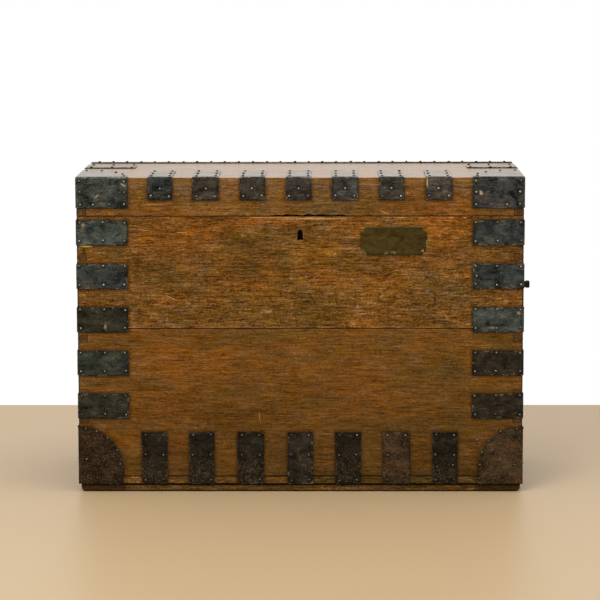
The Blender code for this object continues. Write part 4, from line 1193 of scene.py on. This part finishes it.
def folded_sheet(leaves, seated, low, high):
    """The outer face of an iron: folded, wavy, bulged between its nails, marked at rims and folds."""
    shape = bmesh.new()
    rim = shape.verts.layers.float.new("rim")
    pit = shape.verts.layers.float.new("pit")
    for leaf in leaves:
        rows = [[shape.verts.new(place) for place in row] for row in leaf.grid()]
        for row, after in zip(rows, rows[1:]):
            for index in range(len(row) - 1):
                shape.faces.new((row[index], row[index + 1], after[index + 1], after[index]))
    bmesh.ops.remove_doubles(shape, verts=shape.verts, dist=1e-6)
    edge = {vert for side in shape.edges if side.is_boundary for vert in side.verts}
    outward = {}
    for vert in shape.verts:
        place, normal = onto_folds(vert.co, low, high)
        flat = fold_distance(place, low, high) / FOLD_FADE
        drift = noise.noise_vector(place / IRON_WARP_SPAN) * IRON_WARP * min(1.0, flat)
        drift -= normal * drift.dot(normal)
        bulge = 0.5 + 0.5 * noise.noise(place / IRON_BULGE_SPAN + IRON_BULGE_SHIFT)
        bulge *= smooth_step(flat)
        near = 0.0
        for seat, _ in seated:
            distance = (place - seat).length / NAIL_DIMPLE
            if distance < DIMPLE_REACH:
                near = max(near, math.exp(-distance * distance * DIMPLE_STEEPNESS))
        vert.co = place + drift + normal * IRON_BULGE * bulge * (1 - near)
        vert[pit] = near * DIMPLE_DIRT_AND_SHADE
        folded = sum(abs(part) > FOLDED for part in normal) > 1
        # Rims take grime and painted shade, folds painted shade
        vert[rim] = 1.0 if vert in edge else FOLD_SHADE * folded
        outward[vert] = normal
    for face in shape.faces:
        face.normal_update()
        if face.normal.dot(outward[face.verts[0]] + outward[face.verts[2]]) < 0:
            face.normal_flip()
    return shape


def sheet_iron(name, group, leaves, material, nails, *nodes):
    """One iron of leaves that meet at folds, with the heads of its nails.

    nails are (leaf number, along, across) places.
    """
    heads = HEADS[group]
    planes = PLANES[heads.body]
    seated = [onto_folds(leaves[leaf].at(along, across), *planes) for leaf, along, across in nails]
    piece = smooth_piece(name, folded_sheet(leaves, seated, *planes))
    thick = piece.modifiers.new("thickness", "SOLIDIFY")
    thick.thickness = SHEET
    thick.offset = -1
    rim = piece.modifiers.new("eased_rim", "BEVEL")
    rim.width = IRON_RIM
    rim.segments = 2
    rim.limit_method = "ANGLE"
    rim.angle_limit = IRON_RIM_ANGLE
    add_weighted_normals(piece)
    for seat, normal in seated:
        heads.drive(seat, normal)
    slot = "rusty_iron" if "rust" in material.name else "strap_iron"
    dress(piece, material, heads.body, slot, *nodes)


def nail_rows(levels, *rows):
    """Nails at some levels across the leaves. Each row is a leaf's number and the places along it."""
    return [(leaf, along, level) for level in levels for leaf, alongs in rows for along in alongs]


# Tone of each corner strap, from the top down
STRAP_TONES = {
    "left": ("green_grey", "blue_black", "olive_black", "green_black", "olive_black"),
    "right": ("blue_black", "blue_black", "green_grey", "soot", "soot"),
}
STRAP_ROUNDING = 0.0016
STRAP_NAIL_TOP = 0.0036
STRAP_NAIL_FOOT = 0.0070
FRONT_STATIONS = tuple(IRON_OUT + along for along in (0.0046, 0.0452, 0.0814))
SIDE_STATIONS = tuple(IRON_OUT + along for along in (0.0220, 0.0450, 0.0680))
# Nails that only one front strap has, by its side and its place from the top
STRAP_EXTRA_NAILS = {("right", 1): [(0, 0.0815, 0.0215)]}


def corner_leaves(side, depth_side, foot, height, front_leg, side_leg):
    """Front or rear leg and side leg of a strap round an upright corner."""
    corner = plane_corner(side, depth_side, foot)
    legs = (((-side, 0, 0), front_leg + IRON_OUT), ((0, -depth_side, 0), side_leg + IRON_OUT))
    return angle_leaves(corner, legs, UP, height, STRAP_ROUNDING)


def corner_straps():
    _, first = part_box("left_corner_strap_1")
    legs = (first.x + HALF_WIDTH, first.y - FRONT)
    for side, word in SIDES:
        for index, tone in enumerate(STRAP_TONES[word]):
            node = f"{word}_corner_strap_{index + 1}"
            low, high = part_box(node)
            height = high.z - low.z
            material = iron(tone, index + 10 * side)
            levels = (STRAP_NAIL_FOOT, height - STRAP_NAIL_TOP)
            nails = nail_rows(levels, (0, FRONT_STATIONS), (1, SIDE_STATIONS))
            for depth_side, group in ((-1, "front"), (1, "rear")):
                leaves = corner_leaves(side, depth_side, low.z, height, *legs)
                name = f"{group}_{word}_strap_{index + 1}"
                if depth_side < 0:
                    extra = STRAP_EXTRA_NAILS.get((word, index), [])
                    sheet_iron(name, "case_front", leaves, material, nails + extra, node)
                else:
                    sheet_iron(name, "case_rear", leaves, material, nails)


# Nails of the plates: distance from the outer side and height above the floor
PLATE_NAILS = {
    "left": (
        (0.0120, 0.1113), (0.0308, 0.1056), (0.0496, 0.0948), (0.0657, 0.0730),
        (0.0697, 0.0476), (0.0694, 0.0205), (0.0130, 0.0572),
    ),
    "right": (
        (0.0098, 0.1103), (0.0371, 0.1051), (0.0567, 0.0886), (0.0686, 0.0686),
        (0.0718, 0.0468), (0.0734, 0.0232), (0.0120, 0.0480),
    ),
}
PLATE_TONES = {"left": "dark_rust", "right": "light_rust"}


def corner_plates():
    for side, word in SIDES:
        for depth_side, group in ((-1, "front"), (1, "rear")):
            node = f"{group}_{word}_corner_plate"
            low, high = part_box(node)
            reach, height = high.x - low.x, high.z - low.z
            corner = plane_corner(side, depth_side, low.z)
            outline = quarter_disc(reach, height, height - reach)
            leaves = [
                Leaf(corner, (-side, 0, 0), reach, UP, height, outline=outline),
                Leaf(corner, (0, -depth_side, 0), reach, UP, height, outline=outline),
            ]
            nails = []
            for along, level in PLATE_NAILS[word]:
                nails += nail_rows((level - low.z,), (0, (IRON_OUT + along,)), (1, (IRON_OUT + along,)))
            material = iron(PLATE_TONES[word], 31 + side + 3 * depth_side)
            sheet_iron(node + "_iron", "case_" + group, leaves, material, nails, node)


FOOT_STRAP_TONES = (
    "foot_black", "foot_black", "foot_black", "soot", "foot_black", "light_rust", "foot_black"
)
FOOT_NAIL_ASIDE = 0.0152
FOOT_NAIL_LOW = 0.0065
FOOT_NAIL_DROPS = (0.0393, 0.0048)
# Nails that only one foot strap has, by its place from the left
FOOT_STRAP_EXTRA_NAILS = {6: [(0, 0.0085, 0.0300), (0, 0.0350, 0.0330)]}
# A nail in the bare wood, left of the right plate
STRAY_NAIL = Vector((0.3030, FRONT, 0.0900))


def foot_straps():
    for index, tone in enumerate(FOOT_STRAP_TONES):
        node = f"foot_strap_{index + 1}"
        low, high = iron_box(node)
        width, height = high.x - low.x, high.z - low.z
        corner = (low.x, FRONT - IRON_OUT, low.z)
        leaf = Leaf(corner, RIGHT, width, UP, height, fold=(False, False))
        levels = (FOOT_NAIL_LOW, *(height - drop for drop in FOOT_NAIL_DROPS))
        nails = nail_rows(levels, (0, (width / 2 - FOOT_NAIL_ASIDE, width / 2 + FOOT_NAIL_ASIDE)))
        nails += FOOT_STRAP_EXTRA_NAILS.get(index, [])
        sheet_iron(node + "_iron", "case_front", [leaf], iron(tone, 50 + index), nails, node)
    HEADS["case_front"].add(STRAY_NAIL, FORWARD)


LID_STRAP_TONES = (
    "blue_black", "brown_grey", "brown_grey", "violet_black", "cool_grey", "grey", "grey"
)
LID_STRAP_ROUNDING = 0.0018
# Nails of a lid strap: down its front and aside of its middle, then along its top and aside
LID_FRONT_NAILS = ((0.0325, -0.0157), (0.0330, 0.0157), (0.0200, 0.0))
LID_TOP_NAILS = (0.0175, 0.0655, 0.1135)
LID_TOP_NAIL_ASIDE = 0.016


def lid_straps():
    for index, tone in enumerate(LID_STRAP_TONES):
        node = f"lid_strap_{index + 1}"
        low, high = iron_box(node)
        width = high.x - low.x
        middle = width / 2
        corner = (low.x, FRONT - IRON_OUT, LID_PLANE)
        legs = ((DOWN, LID_PLANE - low.z), (BACKWARD, high.y - FRONT + IRON_OUT))
        leaves = angle_leaves(corner, legs, RIGHT, width, LID_STRAP_ROUNDING)
        nails = [(0, down, middle + aside) for down, aside in LID_FRONT_NAILS]
        for along in LID_TOP_NAILS:
            nails += [(1, along, middle - LID_TOP_NAIL_ASIDE), (1, along, middle + LID_TOP_NAIL_ASIDE)]
        sheet_iron(node + "_iron", "lid_front", leaves, iron(tone, 70 + index, LID_GLOSS), nails, node)


END_STRAP_ROUNDING = 0.002
END_NAIL_EDGE = 0.006
END_TOP_NAILS = (0.012, 0.048, 0.083)
END_SIDE_NAILS = (0.014, 0.040)


def lid_end_straps():
    for side, word in SIDES:
        node = f"lid_{word}_end_strap"
        low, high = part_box(node)
        depth = high.y - low.y
        corner = (side * (HALF_WIDTH + IRON_OUT), low.y, LID_PLANE)
        legs = ((DOWN, LID_PLANE - low.z), ((-side, 0, 0), high.x - low.x))
        leaves = angle_leaves(corner, legs, BACKWARD, depth, END_STRAP_ROUNDING)
        levels = (END_NAIL_EDGE, depth - END_NAIL_EDGE)
        nails = nail_rows(levels, (1, END_TOP_NAILS), (0, END_SIDE_NAILS))
        material = iron("soot", 90 + side, LID_GLOSS)
        sheet_iron(node + "_iron", "lid_rear", leaves, material, nails, node)


CAP_TONES = {"left": "green_grey", "right": "cool_black"}
# Depth of the part of a cap's top that is square, before its ellipse
CAP_SQUARE = 0.010
# Nails of a cap: along its foot, then places on its front, along its side, and places on its top
CAP_NAIL_EDGE = 0.0062
CAP_FOOT_NAILS = (0.008, 0.030, 0.057, 0.0825)
CAP_FRONT_NAILS = ((0.0068, 0.0080), (0.0082, 0.0262), (0.0825, 0.0270), (0.0830, 0.0075))
CAP_SIDE_NAILS = (0.030, 0.075, 0.125)
CAP_SIDE_NAIL_TOP = 0.0085
CAP_TOP_NAILS = ((0.0085, 0.128), (0.036, 0.122), (0.062, 0.091), (0.077, 0.057), (0.081, 0.0165))


def lid_caps():
    for side, word in SIDES:
        node = f"lid_{word}_corner_cap"
        low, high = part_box(node)
        reach, depth = high.x - low.x, high.y - low.y
        corner = plane_corner(side, -1, LID_PLANE)
        inward, drop = (-side, 0, 0), LID_PLANE - low.z
        top = quarter_disc(reach, depth, CAP_SQUARE)
        leaves = [
            Leaf(corner, inward, reach, DOWN, drop, fold=(True, True)),
            Leaf(corner, BACKWARD, depth, DOWN, drop, fold=(True, True)),
            Leaf(corner, inward, reach, BACKWARD, depth, fold=(True, True), outline=top),
        ]
        foot = drop - CAP_NAIL_EDGE
        nails = nail_rows((foot,), (0, CAP_FOOT_NAILS))
        nails += [(0, *place) for place in CAP_FRONT_NAILS]
        nails += nail_rows((foot, CAP_SIDE_NAIL_TOP), (1, CAP_SIDE_NAILS))
        nails += [(2, *place) for place in CAP_TOP_NAILS]
        material = iron(CAP_TONES[word], 95 + side, LID_GLOSS)
        sheet_iron(node + "_iron", "lid_front", leaves, material, nails, node)


BACK_NAIL_PITCH = 0.0252
BACK_NAIL_EDGE = 0.0048
BACK_NAIL_DROP = 0.0075


def lid_back_iron():
    """The iron along the lid's back edge, nailed twice as closely on its top as on its back."""
    node = "lid_back_edge_iron"
    low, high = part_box(node)
    width = high.x - low.x
    corner = (low.x, BACK + IRON_OUT, LID_PLANE)
    leaves = [
        Leaf(corner, FORWARD, BACK + IRON_OUT - low.y, RIGHT, width),
        Leaf(corner, DOWN, LID_PLANE - low.z, RIGHT, width),
    ]
    count = int(width / BACK_NAIL_PITCH)
    first = (width - BACK_NAIL_PITCH * (count - 1)) / 2
    nails = [(0, BACK_NAIL_EDGE, first + BACK_NAIL_PITCH * index) for index in range(count)]
    wide = 2 * BACK_NAIL_PITCH
    nails += [(1, BACK_NAIL_DROP, first + wide * index) for index in range(count // 2 + 1)]
    sheet_iron(node + "_iron", "lid_rear", leaves, iron("soot", 99, LID_GLOSS), nails, node)


REAR_STRAP_HEIGHT = 0.030
REAR_STRAP_FOOT = 0.006
REAR_STRAP_LEG = 0.070
REAR_NAIL_EDGE = 0.005
REAR_BACK_NAILS = (0.010, 0.038, 0.066)
REAR_SIDE_NAILS = (0.010, 0.031)


def lid_rear_straps():
    """A short strap round each rear corner of the lid."""
    for side, word in SIDES:
        leaves = corner_leaves(
            side, 1, LID_FOOT + REAR_STRAP_FOOT, REAR_STRAP_HEIGHT, REAR_STRAP_LEG, REAR_STRAP_LEG / 2
        )
        levels = (REAR_NAIL_EDGE, REAR_STRAP_HEIGHT - REAR_NAIL_EDGE)
        nails = nail_rows(levels, (0, REAR_BACK_NAILS), (1, REAR_SIDE_NAILS))
        sheet_iron(f"lid_rear_{word}_strap", "lid_rear", leaves, iron("soot", 120 + side), nails)


# Nails of the hinges: distance from the leaf's middle line, and from its far end
HINGE_SHEET = 0.0020
HINGE_NAILS = (
    (-0.0150, 0.0090), (0.0150, 0.0090), (-0.0150, 0.0320), (0.0150, 0.0320), (0.0, 0.0600),
)
HINGE_ROOM = 0.0120


def hinge_nails():
    """Heads that hold both leaves of each hinge to the back."""
    for side in ("left", "right"):
        for leaf, group in (("case_leaf", "case_rear"), ("lid_leaf", "lid_rear")):
            low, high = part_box(f"{side}_hinge_{leaf}")
            far_end, upward = (low.z, 1) if leaf == "case_leaf" else (high.z, -1)
            for aside, along in HINGE_NAILS:
                if along < high.z - low.z - HINGE_ROOM:
                    x = (low.x + high.x) / 2 + aside
                    place = Vector((x, BACK + GAP + HINGE_SHEET, far_end + upward * along))
                    HEADS[group].add(place, BACKWARD)


BRASS_ARRIS = 0.0005
BRASS_ANGLE = math.radians(40)
BRASS_RIM = 0.0013
# The plate's notch, the height of its right side lit with a painted highlight, and the bright fleck near its
# foot
BRASS_NOTCH = 0.009
BRASS_BRIGHT_TOP = 0.026
BRASS_FLECK_LOW, BRASS_FLECK_HIGH = 0.002, 0.006
BRASS_FLECK_NEAR, BRASS_FLECK_FAR = 0.42, 0.64
BRASS_FLECK_SPAN = 0.006
BRASS_GREEN_BAND = 0.004


def brass_highlight_and_patina(vert, low, high):
    """How bright with painted highlight and how green with patina a point of the plate is: along its right
    side, and round its notches.
    """
    left, right = vert.co.x - low.x, high.x - vert.co.x
    foot, top = vert.co.z - low.z, high.z - vert.co.z
    notch = abs(right - foot) < BRASS_RIM and right < BRASS_NOTCH
    edge = right < BRASS_RIM * 0.9 and foot < BRASS_BRIGHT_TOP
    fleck = (
        BRASS_FLECK_LOW < foot < BRASS_FLECK_HIGH
        and BRASS_FLECK_NEAR < right / (high.x - low.x) < BRASS_FLECK_FAR
        and noise.noise(vert.co / BRASS_FLECK_SPAN) > 0.1
    )
    bright = 0.0
    # Painted highlight down the right side and round the notches
    if vert.normal.y < 0.2 and (notch or edge):
        bright = 1.0
    elif foot < BRASS_NOTCH and left < BRASS_NOTCH and vert.normal.y > -0.9:
        bright = 0.4
    elif fleck:
        bright = 0.3
    at_rim = not bright and min(foot, top, right, left) < BRASS_RIM * 0.5
    return bright, float(at_rim or min(foot, top) < BRASS_GREEN_BAND)


def brass_plate():
    """The bare plate with eased arrises, with a painted highlight down its right side and round that notch.
    """
    node = "brass_plate"
    low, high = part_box(node)
    shape = eased_copy(node, BRASS_ARRIS, BRASS_ANGLE, 0.0)
    for axis in (0, 2):
        extras = [low[axis] + BRASS_RIM, high[axis] - BRASS_RIM]
        slice_along(shape, axis, lattice(low[axis], high[axis], BRASS_RIM * 2, extras))
    rim = shape.verts.layers.float.new("rim")
    pit = shape.verts.layers.float.new("pit")
    for vert in shape.verts:
        vert[rim], vert[pit] = brass_highlight_and_patina(vert, low, high)
    piece = smooth_piece("worn_brass", shape)
    add_weighted_normals(piece)
    dress(piece, brass(), "case", "aged_brass", node)


def fittings():
    """Handles, hinges and lock keep their CAD shapes and take their finish."""
    metal = forged("forged_iron")
    # The lock's iron carries painted shade
    shaded_lock_metal = forged("lock_iron_shaded", LOCK_PAINTED_SHADE)
    for node, piece in frame["nodes"].items():
        if "handle" in node or "bail" in node or "hinge" in node or "lock" in node:
            piece.data.materials.clear()
            piece.data.materials.append(shaded_lock_metal if "lock" in node else metal)
    brass_plate()


FLOOR_BACK = 0.723
FLOOR_FRONT = -7.0
FLOOR_HALF_WIDTH = 5.0
FLOOR_COLOUR = srgb(202, 174, 134)


def floor():
    """A plain pale floor that ends behind the trunk, as it does in the photograph."""
    mesh = bpy.data.meshes.new("floor")
    corners = (
        (-FLOOR_HALF_WIDTH, FLOOR_FRONT, 0.0),
        (FLOOR_HALF_WIDTH, FLOOR_FRONT, 0.0),
        (FLOOR_HALF_WIDTH, FLOOR_BACK, 0.0),
        (-FLOOR_HALF_WIDTH, FLOOR_BACK, 0.0),
    )
    mesh.from_pydata(corners, [], [(0, 1, 2, 3)])
    shade = Shade("pale_floor")
    shade.set(Base_Color=FLOOR_COLOUR, Roughness=0.45, Specular_IOR_Level=0.3)
    mesh.materials.append(shade.material)
    link("floor", mesh)


WORLD_LIGHT = 0.62


def world():
    """Even white light, and plain white to the camera, to gloss and through glass."""
    studio = bpy.data.worlds.new("studio")
    bpy.context.scene.world = studio
    studio.use_nodes = True
    nodes, links = studio.node_tree.nodes, studio.node_tree.links
    path = nodes.new("ShaderNodeLightPath")
    seen = path.outputs["Is Camera Ray"]
    for other in ("Is Glossy Ray", "Is Transmission Ray"):
        most = nodes.new("ShaderNodeMath")
        most.operation = "MAXIMUM"
        links.new(seen, most.inputs[0])
        links.new(path.outputs[other], most.inputs[1])
        seen = most.outputs["Value"]
    strength = nodes.new("ShaderNodeMapRange")
    links.new(seen, strength.inputs["Value"])
    strength.inputs["To Min"].default_value = WORLD_LIGHT
    strength.inputs["To Max"].default_value = 1.0
    background = nodes["Background"]
    background.inputs["Color"].default_value = (1.0, 1.0, 1.0, 1.0)
    links.new(strength.outputs["Result"], background.inputs["Strength"])


# Soft boxes: place, point that it faces, width, height and watts
SOFT_BOXES = {
    "key_light": ((-1.3, -3.0, 2.7), (0.0, -0.1, 0.30), 1.6, 1.2, 60.0),
    "top_light": ((0.3, -0.5, 2.6), (0.0, -0.1, 0.45), 1.6, 1.0, 18.0),
}


def lights():
    for name, (place, target, width, height, watts) in SOFT_BOXES.items():
        data = bpy.data.lights.new(name, "AREA")
        data.shape = "RECTANGLE"
        data.size, data.size_y, data.energy = width, height, watts
        lamp = link(name, data)
        lamp.location = place
        away = Vector(place) - Vector(target)
        lamp.rotation_euler = away.to_track_quat("Z", "Y").to_euler()


def camera():
    data = bpy.data.cameras.new("camera")
    data.sensor_width = SENSOR_WIDTH
    data.lens = FOCAL_PIXELS / FRAME_PIXELS * SENSOR_WIDTH
    data.clip_end = CAMERA_REACH
    level = math.cos(CAMERA_PITCH)
    ahead = Vector(
        (math.sin(CAMERA_YAW) * level, math.cos(CAMERA_YAW) * level, -math.sin(CAMERA_PITCH))
    )
    right = Vector((math.cos(CAMERA_YAW), -math.sin(CAMERA_YAW), 0.0))
    up = right.cross(ahead)
    across = right * math.cos(CAMERA_ROLL) + up * math.sin(CAMERA_ROLL)
    upright = up * math.cos(CAMERA_ROLL) - right * math.sin(CAMERA_ROLL)
    lens = link("camera", data)
    turn = Matrix((across, upright, -ahead)).transposed().to_4x4()
    lens.matrix_world = Matrix.Translation(CAMERA_PLACE) @ turn
    bpy.context.scene.camera = lens
    bpy.context.scene.view_settings.view_transform = "Standard"


def main():
    noise.seed_set(IRON_WARP_SEED)
    camera()
    world()
    lights()
    floor()
    nail = nail_iron()
    boards()
    corner_straps()
    corner_plates()
    foot_straps()
    lid_straps()
    lid_end_straps()
    lid_caps()
    lid_back_iron()
    lid_rear_straps()
    hinge_nails()
    for heads in HEADS.values():
        heads.finish(nail)
    fittings()


main()
